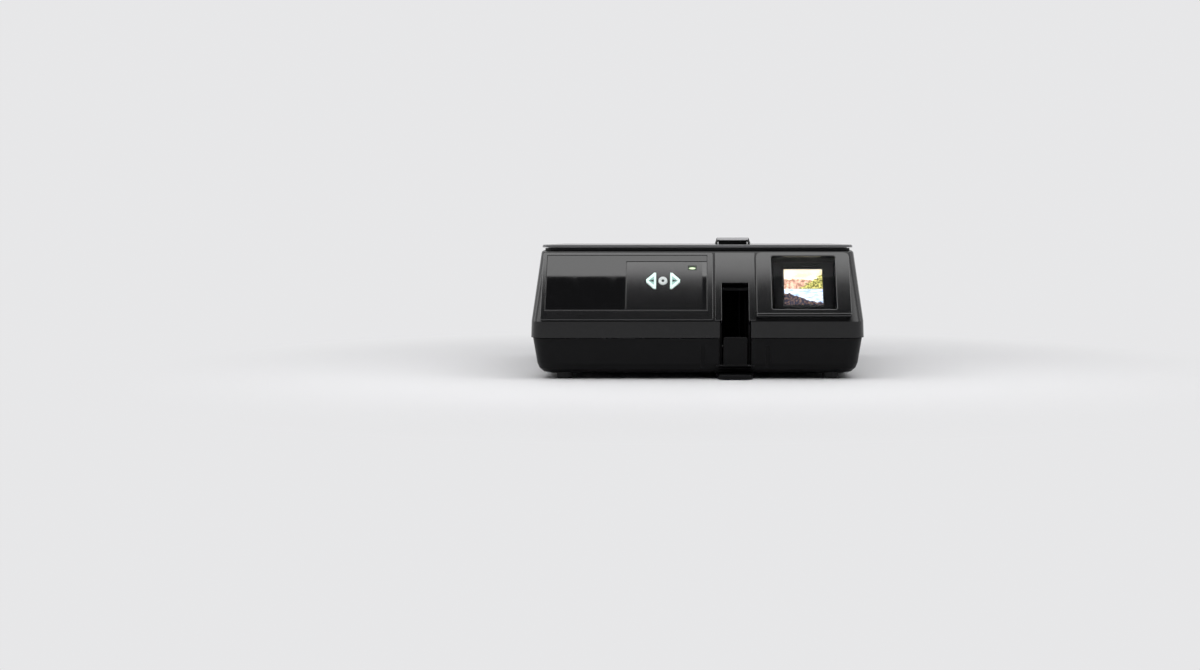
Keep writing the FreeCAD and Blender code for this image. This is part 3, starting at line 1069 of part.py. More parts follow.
def build_rear():
    block("main_board", "board_right - board_left", "board_back - board_front", "board_thick",
          "board_left", "board_front", "board_z")
    deck = "board_z + board_thick"
    parts = []
    for index in range(3):
        across = f"board_right - 2 * can_round - {index} * can_pitch"
        along = "board_front + 2 * can_round"
        parts.append(rod(f"can_{index}", "can_round", "can_tall", across, along, deck))
    for index in range(2):
        across = f"board_left + chip_gap + {index} * (chip_side + chip_gap)"
        parts.append(block(f"chip_{index}", "chip_side", "chip_side", "chip_tall",
                           across, "board_front + chip_tall", deck))
    joined("board_parts", "Compound", parts)
    face = f"{LOWER_REAR} - socket_proud"
    usb = new_body("usb_socket")
    pad(usb, "XZ", f"-({face})", "usb_deep",
        rectangle("usb_x - usb_wide / 2", "usb_x + usb_wide / 2", deck, "socket_z + usb_high / 2"))
    pocket(usb, "XZ", f"-({face} + overrun)", "overrun + plug_deep",
           rectangle("usb_x - usb_plug_wide / 2", "usb_x + usb_plug_wide / 2",
                     "socket_z - usb_plug_high / 2", "socket_z + usb_plug_high / 2"))
    pad(usb, "XZ", f"-({face} - clearance)", "plug_deep",
        rectangle("usb_x - usb_key_wide / 2", "usb_x + usb_key_wide / 2",
                  "socket_z - usb_key_high / 2", "socket_z + usb_key_high / 2"))
    jack = new_body("power_socket")
    pad(jack, "XZ", f"-({face})", "jack_deep", ("jack_x", "socket_z", "jack_round"))
    pad(jack, "XZ", f"-({LOWER_REAR} - wall - clearance)", "jack_deep - wall - clearance + socket_proud",
        rectangle("jack_x - jack_wide / 2", "jack_x + jack_wide / 2", deck, "socket_z + jack_round"))
    pocket(jack, "XZ", f"-({face} + overrun)", "overrun + plug_deep", ("jack_x", "socket_z", "jack_bore"))
    pad(jack, "XZ", f"-({face} - clearance)", "plug_deep", ("jack_x", "socket_z", "jack_pin"))
    housing = new_body("switch_housing")
    half_wide, half_high = "switch_wide / 2", "switch_high / 2"
    pad(housing, "XZ", f"-({LOWER_REAR} + flange_thick)", "flange_thick",
        rectangle(f"switch_x - {half_wide} - flange_side", f"switch_x + {half_wide} + flange_side",
                  f"socket_z - {half_high} - flange_side", f"socket_z + {half_high} + flange_side"))
    pad(housing, "XZ", f"-({LOWER_REAR})", "switch_deep",
        rectangle(f"switch_x - {half_wide} + clearance", f"switch_x + {half_wide} - clearance",
                  f"socket_z - {half_high} + clearance", f"socket_z + {half_high} - clearance"))
    pocket(housing, "XZ", f"-({LOWER_REAR} + flange_thick + overrun)", "overrun + flange_thick + plug_deep",
           rectangle("switch_x - rocker_wide / 2 - rocker_gap", "switch_x + rocker_wide / 2 + rocker_gap",
                     "socket_z - rocker_high / 2 - rocker_gap", "socket_z + rocker_high / 2 + rocker_gap"))
    pin_long = "(rocker_high + 2 * rocker_gap + 2 * rocker_pin_seat)"
    pocket(housing, "XY", f"socket_z - {pin_long} / 2 - clearance", f"{pin_long} + 2 * clearance",
           ("switch_x", f"{LOWER_REAR} - rocker_back", "rocker_pin + running_fit"))
    rocker = new_body("switch_rocker")
    rocker.Placement = Placement(Vector(), Rotation(UP, -value("rocker_tilt")))
    rocker.setExpression("Placement.Rotation.Angle", cells("-rocker_tilt"))
    place(rocker, "switch_x", f"{LOWER_REAR} - rocker_back", "socket_z")
    half = "rocker_wide / 2"
    wing = f"{half} * tan(rocker_tilt)"
    pad(rocker, "XY", "-rocker_high / 2", "rocker_high",
        [(f"-({half})", "0"), ("0", "-rocker_hub"), (half, "0"),
         (half, f"rocker_reach + {wing}"), ("0", "rocker_reach"), (f"-({half})", f"rocker_reach + {wing}")])
    pad(rocker, "XY", f"-{pin_long} / 2", pin_long, ("0", "0", "rocker_pin"))


# Feet and case screws

FEET_AND_SCREWS_SIZES = {
    "foot_edge": 1, "screw_long": 34,
}
sizes(FEET_AND_SCREWS_SIZES)


def build_feet():
    feet = new_body("rubber_feet")
    pad(feet, "XY", "0", "foot_high + foot_sunk - clearance", *[(x, y, "foot_round") for x, y in FEET])
    soften(feet, "foot_edge", lambda edge: lies_at(edge.BoundBox.ZMax, "0"))
    screws = new_body("case_screws")
    pad(screws, "XY", "foot_high", "screw_head_high", *[(x, y, "screw_head") for x, y in POSTS])
    pad(screws, "XY", "foot_high + screw_head_high", "screw_long",
        *[(x, y, "screw_round") for x, y in POSTS])


def write_parts():
    """Check every object and sub-part, then write one file for each node."""
    doc.recompute()
    for item in doc.Objects:
        if "Invalid" in item.State or "Error" in item.State:
            raise RuntimeError(f"{item.Name} failed: {item.State}")
    os.makedirs("parts", exist_ok=True)
    for name, item in nodes.items():
        if item.Shape.isNull() or not item.Shape.isValid() or not item.Shape.Solids:
            raise RuntimeError(f"{name} has no valid solid")
        item.Shape.exportStep(f"parts/{name}.step")
        print(name, len(item.Shape.Solids), round(item.Shape.Volume))


build_lower_case()
build_upper_case()
build_lid()
build_deck()
build_fascia()
build_keys()
build_viewer()
build_mouth_frame()
build_guide()
build_lifter()
build_flap()
build_tongue()
build_optics()
build_light()
build_feed()
build_rear()
build_feet()
write_parts()
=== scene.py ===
import math

import bmesh
import bpy
from mathutils import Matrix, Vector


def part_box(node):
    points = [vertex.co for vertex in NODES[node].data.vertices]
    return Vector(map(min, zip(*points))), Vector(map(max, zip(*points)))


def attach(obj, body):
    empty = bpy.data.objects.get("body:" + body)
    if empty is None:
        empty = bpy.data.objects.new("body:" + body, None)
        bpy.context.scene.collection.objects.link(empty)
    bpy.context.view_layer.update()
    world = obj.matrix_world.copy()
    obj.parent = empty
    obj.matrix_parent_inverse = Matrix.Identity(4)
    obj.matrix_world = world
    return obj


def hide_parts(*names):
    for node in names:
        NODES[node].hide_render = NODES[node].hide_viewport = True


# A desktop film and slide scanner: black moulded case with a tilted front, gloss key panel, lit slide
# viewer, an upright holder channel with its flap, a hinged lid and a pull-up slide lifter.

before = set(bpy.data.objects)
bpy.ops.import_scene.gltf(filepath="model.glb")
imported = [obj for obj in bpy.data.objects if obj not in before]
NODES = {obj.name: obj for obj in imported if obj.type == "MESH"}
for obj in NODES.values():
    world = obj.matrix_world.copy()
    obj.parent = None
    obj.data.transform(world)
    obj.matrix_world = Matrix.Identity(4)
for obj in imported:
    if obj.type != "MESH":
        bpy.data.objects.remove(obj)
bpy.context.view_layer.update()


# Rubber feet: four moulded pads of black rubber, pressed into round seats in the tub's floor.
# The feed wheel's tyre and the pressure roller are ground from the same rubber.
# It is dull, with a bloom and fine open pores.

class Wire:
    """A socket of a node tree; the usual operators add Math nodes, and node() adds any other kind."""

    def __init__(self, tree, socket=None):
        self.tree = tree
        self.socket = socket

    def node(self, kind, inputs=(), output=0, **settings):
        """Add a node: its settings come first, then the values or links of its sockets."""
        made = self.tree.nodes.new(kind)
        for name, setting in settings.items():
            setattr(made, name, setting)
        for name, given in dict(inputs).items():
            if isinstance(given, Wire):
                self.tree.links.new(given.socket, made.inputs[name])
            else:
                made.inputs[name].default_value = given
        return Wire(self.tree, made.outputs[output])

    def math(self, operation, *others):
        return self.node("ShaderNodeMath", dict(enumerate((self, *others))), operation=operation)

    def __add__(self, other):
        return self.math("ADD", other)

    def __sub__(self, other):
        return self.math("SUBTRACT", other)

    def __mul__(self, other):
        return self.math("MULTIPLY", other)

    def __rsub__(self, other):
        return self.node("ShaderNodeMath", {0: other, 1: self}, operation="SUBTRACT")

    __radd__ = __add__
    __rmul__ = __mul__

    def above(self, edge, soft):
        """Rise from 0 to 1 around an edge."""
        inputs = {"Value": self, "From Min": edge - soft, "From Max": edge + soft}
        return self.node("ShaderNodeMapRange", inputs, interpolation_type="SMOOTHSTEP")

    def stretched(self, across, along, up):
        """Draw coordinates out along the axes."""
        scales = (1 / across, 1 / along, 1 / up)
        return self.node("ShaderNodeVectorMath", {0: self, 1: scales}, operation="MULTIPLY")

    def less(self, place):
        """Measure coordinates from another place."""
        return self.node("ShaderNodeVectorMath", {0: self, 1: place}, operation="SUBTRACT")

    def length(self):
        """Give how far a place is from the origin."""
        return self.node("ShaderNodeVectorMath", {0: self}, output="Value", operation="LENGTH")

    def part(self, axis):
        """Take one coordinate of a place."""
        return self.node("ShaderNodeSeparateXYZ", {0: self}, output=axis)

    def noise(self, size, detail=2.0):
        """Give cloudy noise from 0 to 1 with spots of about that size in metres."""
        return self.node("ShaderNodeTexNoise", {"Vector": self, "Scale": 1 / size, "Detail": detail})

    def mixed(self, low, high):
        """Go from one colour to another as the socket goes from 0 to 1."""
        return self.node("ShaderNodeMix", {0: self, 6: low, 7: high}, output=2, data_type="RGBA")

    def covering(self, colour, under):
        """Lay a colour over what is under it, where the socket is 1."""
        return self.mixed(under, colour)

    def relief(self, depth, normal=None):
        """Turn a height from 0 to 1 into a surface of that depth in metres."""
        inputs = {"Height": self, "Distance": depth}
        if normal:
            inputs["Normal"] = normal
        return self.node("ShaderNodeBump", inputs)


def rgb(red, green, blue):
    return (red, green, blue, 1.0)


def finish(name, constants, varied):
    """Make a Principled material from constants and what varies over the object's own coordinates."""
    material = bpy.data.materials.new(name)
    material.use_nodes = True
    tree = material.node_tree
    shader = tree.nodes["Principled BSDF"]
    for socket, constant in constants.items():
        shader.inputs[socket].default_value = constant
    at = Wire(tree).node("ShaderNodeTexCoord", output="Object")
    for socket, wire in varied(at).items():
        tree.links.new(wire.socket, shader.inputs[socket])
    return material


def dress(material, *names):
    """Give CAD nodes a finish in place of their plain one."""
    for name in names:
        NODES[name].data.materials.clear()
        NODES[name].data.materials.append(material)


def black_rubber(at):
    bloom = at.noise(0.012, 4)
    return {"Base Color": bloom.mixed(rgb(0.010, 0.010, 0.011), rgb(0.028, 0.028, 0.029)),
            "Roughness": 0.62 + bloom * 0.25,
            "Normal": at.noise(0.0006, 3).relief(0.00006)}


BLACK_RUBBER = finish("black_rubber", {"Specular IOR Level": 0.35}, black_rubber)
dress(BLACK_RUBBER, "rubber_feet", "feed_tyre", "pressure_roller")


# Case screws: zinc-plated pan heads with a cross recess, driven up from below through the tub's posts.
# The chassis, brackets, axles and pins are plated too; folded sheet shows spangle and the rolling direction.

def zinc_plate(at):
    spangle = at.noise(0.004, 3)
    drawn = at.stretched(1, 30, 1).noise(0.0004)
    return {"Base Color": spangle.mixed(rgb(0.42, 0.43, 0.45), rgb(0.60, 0.61, 0.63)),
            "Roughness": 0.26 + drawn * 0.16 + spangle * 0.08,
            "Normal": drawn.relief(0.00001)}


ZINC_PLATE = finish("zinc_plate", {"Metallic": 1.0}, zinc_plate)
dress(ZINC_PLATE, "chassis_plate", "drive_bracket", "roller_bracket", "sensor_stand", "lid_hinge_pins",
      "feed_axle", "motor_shaft", "pressure_axle")

HEAD_SIDES = 24
RECESS_WIDE = 0.0007
RECESS_REACH_SHARE = 0.6
RECESS_DEEP_SHARE = 0.6
HEAD_EDGE_SHARE = 0.86


def ring(mesh, radius, level, sides):
    """Add a level circle of vertices round Z."""
    turns = [2 * math.pi * side / sides for side in range(sides)]
    return [mesh.verts.new((radius * math.cos(turn), radius * math.sin(turn), level)) for turn in turns]


def skin(mesh, loops):
    """Span faces from each closed loop of vertices to the next one."""
    for near, beyond in zip(loops, loops[1:]):
        for index in range(len(near)):
            far = (index + 1) % len(near)
            mesh.faces.new((near[index], near[far], beyond[far], beyond[index]))


def baked(name, mesh):
    """Turn the faces outwards and give the finished mesh."""
    bmesh.ops.recalc_face_normals(mesh, faces=mesh.faces)
    data = bpy.data.meshes.new(name)
    mesh.to_mesh(data)
    mesh.free()
    return data


def placed(name, data):
    """Put a mesh into the scene, at the origin."""
    piece = bpy.data.objects.new(name, data)
    bpy.context.scene.collection.objects.link(piece)
    return piece


def cross_screw(name, radius, high, shank_radius, shank_long):
    """Model a screw that points up, with its pan head below the origin and a cross recess in the head."""
    mesh = bmesh.new()
    head = [ring(mesh, around, level, HEAD_SIDES) for around, level in
            ((radius, 0.0), (radius, -high / 2), (radius * HEAD_EDGE_SHARE, -high))]
    arm, half = radius * RECESS_REACH_SHARE, RECESS_WIDE / 2
    outline = []
    for turn in range(4):
        for x, y in ((arm, -half), (arm, half), (half, half)):
            for _ in range(turn):
                x, y = -y, x
            outline.append((x, y))
    mouth = [mesh.verts.new((x, y, -high)) for x, y in outline]
    floor = [mesh.verts.new((x, y, -high * (1 - RECESS_DEEP_SHARE))) for x, y in outline]
    skin(mesh, head)
    edges = []
    for loop in (head[-1], mouth):
        for index, vertex in enumerate(loop):
            other = loop[(index + 1) % len(loop)]
            edges.append(mesh.edges.get((vertex, other)) or mesh.edges.new((vertex, other)))
    bmesh.ops.triangle_fill(mesh, edges=edges, use_beauty=True)
    skin(mesh, (mouth, floor))
    mesh.faces.new(floor)
    foot = ring(mesh, shank_radius, 0.0, HEAD_SIDES)
    tip = ring(mesh, shank_radius, shank_long, HEAD_SIDES)
    skin(mesh, (head[0], foot, tip))
    mesh.faces.new(tip)
    return baked(name, mesh)


def grown(name, mesh, numbers, material, build):
    """Run a Geometry Nodes tree with named sizes on a mesh once, and keep the result as a plain mesh."""
    tree = bpy.data.node_groups.new(name, "GeometryNodeTree")
    tree.interface.new_socket("Geometry", in_out="OUTPUT", socket_type="NodeSocketGeometry")
    tree.interface.new_socket("Mesh", in_out="INPUT", socket_type="NodeSocketGeometry")
    sockets = {}
    for title, number in numbers.items():
        kind = "NodeSocketInt" if isinstance(number, int) else "NodeSocketFloat"
        sockets[title] = tree.interface.new_socket(title, in_out="INPUT", socket_type=kind)
    start = tree.nodes.new("NodeGroupInput")
    shape = build(*[Wire(tree, socket) for socket in start.outputs if socket.name])
    real = shape.node("GeometryNodeRealizeInstances", {"Geometry": shape})
    dressed = real.node("GeometryNodeSetMaterial", {"Geometry": real, "Material": material})
    tree.links.new(dressed.socket, tree.nodes.new("NodeGroupOutput").inputs[0])
    piece = placed(name, mesh)
    modifier = piece.modifiers.new(name, "NODES")
    modifier.node_group = tree
    for title, number in numbers.items():
        modifier[sockets[title].identifier] = number
    evaluated = piece.evaluated_get(bpy.context.evaluated_depsgraph_get())
    plain = bpy.data.meshes.new_from_object(evaluated)
    piece.modifiers.clear()
    piece.data = plain
    return piece


def screw_field(mesh, wide, deep, across, along, middle, level):
    """Stand a copy of the screw on each point of a grid."""
    sides = {"Size X": wide, "Size Y": deep, "Vertices X": across, "Vertices Y": along}
    grid = mesh.node("GeometryNodeMeshGrid", sides)
    shift = mesh.node("ShaderNodeCombineXYZ", {"Y": middle, "Z": level})
    moved = grid.node("GeometryNodeTransform", {"Geometry": grid, "Translation": shift})
    return moved.node("GeometryNodeInstanceOnPoints", {"Points": moved, "Instance": mesh})


def screw_grid(node, inset, across, along, level):
    """Give the sizes of a grid of screws that keeps this far inside a node's outline."""
    low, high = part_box(node)
    return {"Wide": high.x - low.x - 2 * inset, "Deep": high.y - low.y - 2 * inset, "Across": across,
            "Along": along, "Middle": (low.y + high.y) / 2, "Level": level}


SCREW_HEAD = 0.003
SCREW_HEAD_HIGH = 0.0018
SCREW_SHANK = 0.0015

low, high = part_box("case_screws")
screw = cross_screw("case_screw", SCREW_HEAD, SCREW_HEAD_HIGH, SCREW_SHANK,
                    high.z - low.z - SCREW_HEAD_HIGH)
case_screws = grown("cross_head_screws", screw,
                    screw_grid("case_screws", SCREW_HEAD, 2, 2, low.z + SCREW_HEAD_HIGH),
                    ZINC_PLATE, screw_field)
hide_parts("case_screws")
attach(case_screws, "housing")


# Case: a tub, an upper shell and a lid, injection-moulded in black ABS with a fine spark-eroded texture.
# The trim on the front is smoother. The edges are painted lighter than the plastic: partly wear, partly a
# painted highlight for light caught on the rounded edges.

EDGE_REACH = 0.0004
SPARK_GRAIN = 0.0005
# Edge colours, lighter than the plastic: partly wear, partly painted highlight; the trim's brighter one is a
# painted highlight.
EDGE_WEAR_AND_SHEEN = rgb(0.022, 0.022, 0.024)
PAINTED_EDGE_HIGHLIGHT = rgb(0.085, 0.085, 0.090)


def broken_edge(at):
    """Give the normal of sharp edges that the mould leaves slightly round."""
    return at.node("ShaderNodeBevel", {"Radius": EDGE_REACH}, samples=4)


def edge_wear_and_sheen(at):
    """Rise to 1 on the edges, where wear and a painted highlight are laid."""
    faced = at.node("ShaderNodeNewGeometry", output="Normal")
    inputs = {0: broken_edge(at), 1: faced}
    turned = at.node("ShaderNodeVectorMath", inputs, output="Value", operation="DOT_PRODUCT")
    return (1 - turned).above(0.12, 0.12)


def moulded(dark, pale, rough, grain_deep, edge=EDGE_WEAR_AND_SHEEN):
    """Give what varies over textured plastic."""
    def varied(at):
        flow = at.noise(0.03, 3)
        wear_and_sheen = edge_wear_and_sheen(at)
        # The edges get the edge colour: partly wear, partly painted highlight.
        return {"Base Color": wear_and_sheen.covering(edge, flow.mixed(dark, pale)),
                "Roughness": rough + flow * 0.04 + at.noise(0.008, 4) * 0.04 - wear_and_sheen * 0.06,
                "Normal": at.noise(SPARK_GRAIN).relief(grain_deep, broken_edge(at))}
    return varied


dress(finish("tub_plastic", {"Specular IOR Level": 0.11},
             moulded(rgb(0.0050, 0.0050, 0.0056), rgb(0.0075, 0.0075, 0.0082), 0.34, 0.000006)),
      "lower_case", "support_tongue", "tongue_rails", "inner_deck")

dress(finish("case_plastic", {"Specular IOR Level": 0.36},
             moulded(rgb(0.0050, 0.0050, 0.0055), rgb(0.0070, 0.0070, 0.0076), 0.155, 0.000003)),
      "upper_case")

# Pale tone for the lid's upright faces: a painted highlight, not the plastic's own colour.
PAINTED_LID_EDGE_HIGHLIGHT = rgb(0.11, 0.11, 0.115)


def lid_plastic(at):
    """Give the lid's smoother plastic, with its upright edge faces painted pale: a painted highlight of the
    light caught on the lid's edge.
    """
    varied = moulded(rgb(0.009, 0.009, 0.010), rgb(0.013, 0.013, 0.014), 0.10, 0.000001)(at)
    faced = at.node("ShaderNodeNewGeometry", output="Normal")
    # The upright faces of the lid get the painted edge highlight.
    edge = 1 - faced.part("Z").math("ABSOLUTE").above(0.6, 0.25)
    varied["Base Color"] = edge.covering(PAINTED_LID_EDGE_HIGHLIGHT, varied["Base Color"])
    return varied


dress(finish("lid_plastic", {"Specular IOR Level": 0.55}, lid_plastic), "top_lid")

# The trim's edges are painted brighter still: a painted highlight on its rounded edges.
dress(finish("trim_plastic", {"Specular IOR Level": 0.85},
             moulded(rgb(0.0030, 0.0030, 0.0034), rgb(0.0045, 0.0045, 0.0050), 0.09, 0.000001, PAINTED_EDGE_HIGHLIGHT)),
      "control_fascia", "viewer_bezel", "mouth_frame", "slide_lifter")

DULL_PLASTIC = finish("dull_plastic", {"Specular IOR Level": 0.15},
                      moulded(rgb(0.0022, 0.0022, 0.0026), rgb(0.0036, 0.0036, 0.0040), 0.5, 0.00002))
dress(DULL_PLASTIC, "viewer_well", "holder_channel", "lifter_yoke", "slide_mount", "mouth_flap")


# Lifter grip: a satin steel strip let into the front of the hoop's bar, so that fingers find it.
# A dark web of the dull plastic closes the hoop below the bar, down to the lid; it is a dark sheet that
# stands in for the shade inside the hoop's opening.

STRIP_TALL = 0.0019
STRIP_THICK = 0.00018
STRIP_END = 0.0022
WEB_THICK = 0.0012
WEB_GAP = 0.00015
WEB_TALL = 0.0085
ROUND_STEPS = 6


def inner_face(node, start, way):
    """Find where a ray from inside a node meets it."""
    found, place, _, _ = NODES[node].ray_cast(start, way)
    if not found:
        raise ValueError(f"no face of {node} that way")
    return place


def quarter_round(x, y, corner, quarter):
    """Give the points of a quarter circle round a middle, from that quarter on."""
    turns = [math.pi / 2 * (quarter + step / ROUND_STEPS) for step in range(ROUND_STEPS + 1)]
    return [(x + corner * math.cos(turn), y + corner * math.sin(turn)) for turn in turns]


def capped(mesh, loops):
    """Close a stack of loops into one solid."""
    skin(mesh, loops)
    mesh.faces.new(loops[0])
    mesh.faces.new(loops[-1])


def plate(name, left, right, low, high, front, back, corner):
    """Model an upright plate with rounded corners."""
    mesh = bmesh.new()
    corners = ((right - corner, high - corner), (left + corner, high - corner),
               (left + corner, low + corner), (right - corner, low + corner))
    outline = []
    for quarter, (x, z) in enumerate(corners):
        outline += quarter_round(x, z, corner, quarter)
    capped(mesh, [[mesh.verts.new((x, y, z)) for x, z in outline] for y in (front, back)])
    return placed(name, baked(name, mesh))


def satin_steel(at):
    drawn = at.stretched(40, 1, 1).noise(0.0003)
    return {"Base Color": drawn.mixed(rgb(0.66, 0.66, 0.67), rgb(0.84, 0.84, 0.85)),
            "Roughness": 0.24 + drawn * 0.12,
            "Normal": drawn.relief(0.000004)}


low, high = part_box("slide_lifter")
hoop_middle = Vector(((low.x + high.x) / 2, (low.y + high.y) / 2, high.z - 2 * STRIP_TALL))
left, right = [inner_face("slide_lifter", hoop_middle, way).x for way in ((-1, 0, 0), (1, 0, 0))]
bar_foot = inner_face("slide_lifter", hoop_middle, (0, 0, 1)).z
bar_middle = (bar_foot + high.z) / 2
before_bar = Vector((hoop_middle.x, low.y - STRIP_TALL, bar_middle))
bar_face = inner_face("slide_lifter", before_bar, (0, 1, 0)).y

grip_strip = plate("grip_strip", left - STRIP_END / 2, right + STRIP_END / 2, bar_middle - STRIP_TALL / 2,
                   bar_middle + STRIP_TALL / 2, bar_face - STRIP_THICK, bar_face, STRIP_TALL / 3)
grip_strip.data.materials.append(finish("satin_steel", {"Metallic": 1.0}, satin_steel))
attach(grip_strip, "lifter")

# A dark sheet that fills the hoop's opening and stands in for the shade inside it.
hoop_shade_web = plate("hoop_shade_web", left + WEB_GAP, right - WEB_GAP, bar_foot - WEB_TALL, bar_foot - WEB_GAP,
                 hoop_middle.y - WEB_THICK / 2, hoop_middle.y + WEB_THICK / 2, WEB_THICK)
hoop_shade_web.data.materials.append(DULL_PLASTIC)
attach(hoop_shade_web, "lifter")


# Lid seal: an extruded strip of black rubber, stuck on the case's rim along the front and both sides.
# The lid closes over it, which keeps stray light and dust from the slides.

GASKET_INSET = 0.0024
GASKET_WIDE = 0.0014
GASKET_HIGH = 0.0019
GASKET_ROUND = 0.0115
GASKET_END = 0.013
GASKET_SECTION = [(0.0, 0.0), (0.0, 0.7), (0.25, 1.0), (0.75, 1.0), (1.0, 0.7), (1.0, 0.0)]


def gasket_path(inset, corner):
    """Give a U with round front corners, this far inside the lid's outline."""
    low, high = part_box("top_lid")
    left, right, front, back = low.x + inset, high.x - inset, low.y + inset, high.y - GASKET_END
    return [(left, back), *quarter_round(left + corner, front + corner, corner, 2),
            *quarter_round(right - corner, front + corner, corner, 3), (right, back)]


low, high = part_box("top_lid")
above_rim = Vector((low.x + GASKET_INSET + GASKET_WIDE / 2, 0.0, high.z))
rim = inner_face("upper_case", above_rim, (0, 0, -1)).z
mesh = bmesh.new()
runs = []
for across, up in GASKET_SECTION:
    path = gasket_path(GASKET_INSET + across * GASKET_WIDE, GASKET_ROUND - across * GASKET_WIDE)
    runs.append([mesh.verts.new((x, y, rim + up * GASKET_HIGH)) for x, y in path])
capped(mesh, list(zip(*runs)))
lid_gasket = placed("lid_gasket", baked("lid_gasket", mesh))
lid_gasket.data.materials.append(BLACK_RUBBER)
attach(lid_gasket, "housing")


# Deck screws: small zinc-plated pan heads with a cross recess, three along each side of the deck.
# They are driven from above and hold the deck down under the lid.

SCREW_INSET = 0.022
DECK_SCREW_HEAD = 0.0025
DECK_SCREW_HIGH = 0.0014
DECK_SCREW_SHANK = 0.001

screw = cross_screw("deck_screw", DECK_SCREW_HEAD, DECK_SCREW_HIGH, SCREW_SHANK / 2, DECK_SCREW_SHANK)
screw.transform(Matrix.Rotation(math.pi, 4, "X"))
deck_screws = grown("deck_screws", screw,
                    screw_grid("inner_deck", SCREW_INSET, 2, 3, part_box("inner_deck")[1].z),
                    ZINC_PLATE, screw_field)
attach(deck_screws, "housing")


# Flap pin: a blackened steel wire, pushed through the flap's barrel into both cheeks of the mouth.
# The lens block and barrel are anodised black, with the fine rings of the turning tool.

def black_metal(at):
    turned = at.stretched(0.05, 1, 1).noise(0.002)
    return {"Base Color": turned.mixed(rgb(0.012, 0.012, 0.013), rgb(0.025, 0.025, 0.027)),
            "Roughness": 0.3 + turned * 0.2,
            "Normal": turned.relief(0.00002)}


BLACK_METAL = finish("black_metal", {"Metallic": 0.6}, black_metal)
dress(BLACK_METAL, "lens_block", "lens_barrel", "flap_pin")


# Optics, feed drive and boards: the lens glass, nylon gears, a plated motor, green boards with their chips.
# They are screwed, snapped or pressed on the chassis inside the closed case.

def lens_glass(at):
    return {"Base Color": at.noise(0.01, 1).mixed(rgb(0.75, 0.85, 0.95), rgb(0.85, 0.80, 0.95))}


dress(finish("lens_glass", {"Transmission Weight": 1.0, "Roughness": 0.02, "IOR": 1.6}, lens_glass),
      "lens_glasses")


def plated_can(at):
    drawn = at.stretched(1, 1, 40).noise(0.0005)
    return {"Base Color": drawn.mixed(rgb(0.38, 0.38, 0.40), rgb(0.52, 0.52, 0.54)),
            "Roughness": 0.22 + drawn * 0.15,
            "Normal": drawn.relief(0.00001)}


dress(finish("plated_can", {"Metallic": 1.0}, plated_can), "feed_motor", "usb_socket")


def cut_brass(at):
    cut = at.stretched(1, 1, 20).noise(0.0003)
    return {"Base Color": cut.mixed(rgb(0.62, 0.42, 0.14), rgb(0.76, 0.55, 0.22)),
            "Roughness": 0.22 + cut * 0.12,
            "Normal": cut.relief(0.00001)}


dress(finish("cut_brass", {"Metallic": 1.0}, cut_brass), "motor_pinion")


def nylon(at):
    cloud = at.noise(0.006, 3)
    return {"Base Color": cloud.mixed(rgb(0.62, 0.61, 0.56), rgb(0.72, 0.71, 0.66)),
            "Roughness": 0.42 + cloud * 0.1,
            "Normal": at.noise(0.0005).relief(0.00002)}


dress(finish("nylon", {"Subsurface Weight": 0.15, "Subsurface Radius": (0.002, 0.002, 0.0015)}, nylon),
      "feed_hub", "drive_gear")


def grey_frame(at):
    cloud = at.noise(0.008, 3)
    return {"Base Color": cloud.mixed(rgb(0.10, 0.10, 0.105), rgb(0.14, 0.14, 0.145)),
            "Roughness": 0.5 + cloud * 0.1,
            "Normal": at.noise(0.0005).relief(0.00002)}


dress(finish("grey_frame", {}, grey_frame), "light_frame")


def board_green(at):
    tracks = at.stretched(1, 12, 12).noise(0.0011, 0).above(0.56, 0.01)
    return {"Base Color": tracks.mixed(rgb(0.010, 0.085, 0.035), rgb(0.030, 0.17, 0.075)),
            "Roughness": 0.28 + at.noise(0.0005, 1) * 0.1,
            "Normal": tracks.relief(0.00004)}


dress(finish("board_green", {"Coat Weight": 0.3, "Coat Roughness": 0.15}, board_green), "control_board",
      "viewer_lamp_board", "sensor_board", "light_board", "main_board")


def chip_black(at):
    cloud = at.noise(0.004)
    return {"Base Color": cloud.mixed(rgb(0.012, 0.012, 0.013), rgb(0.022, 0.022, 0.023)),
            "Roughness": 0.42 + cloud * 0.12,
            "Normal": at.noise(0.0003).relief(0.00002)}


dress(finish("chip_black", {}, chip_black), "button_switches", "image_sensor", "board_parts", "power_socket",
      "switch_housing")


def opal(at):
    cloud = at.noise(0.02)
    return {"Base Color": cloud.mixed(rgb(0.80, 0.80, 0.78), rgb(0.88, 0.88, 0.87)),
            "Roughness": 0.5 + cloud * 0.1}


dress(finish("lit_opal", {"Emission Color": rgb(1.0, 0.98, 0.94), "Emission Strength": 0.2}, opal),
      "viewer_diffuser")
dress(finish("unlit_opal", {}, opal), "light_plate")


# Light seal: black nylon bristles in two folded steel clips, pressed on both walls near the channel's
# rear end. The bristles meet in the middle, keep stray light and dust out, and part for a holder.

BRISTLE_SIDES = 5
BRISTLE_FOOT = 0.00024
BRISTLE_TIP = 0.00007
BRISTLE_GAP = 0.00042
BRISTLE_OVERLAP = 0.0006
BRISTLE_ROWS = 5
BRISTLE_LEAN = 0.03
BRISTLE_SEED = 7
SEAL_DEEP = 0.0024
SEAL_INSET = 0.0055
SEAL_END_GAP = 0.0004
EXIT_INSET = 0.002


def bristle_mesh(long):
    """Model one tapered bristle, built upright and then laid along X."""
    mesh = bmesh.new()
    capped(mesh, [ring(mesh, radius, level, BRISTLE_SIDES) for radius, level in
                  ((BRISTLE_FOOT, 0.0), (BRISTLE_TIP, long))])
    for vertex in mesh.verts:
        vertex.co = vertex.co.zxy
    return baked("bristle", mesh)


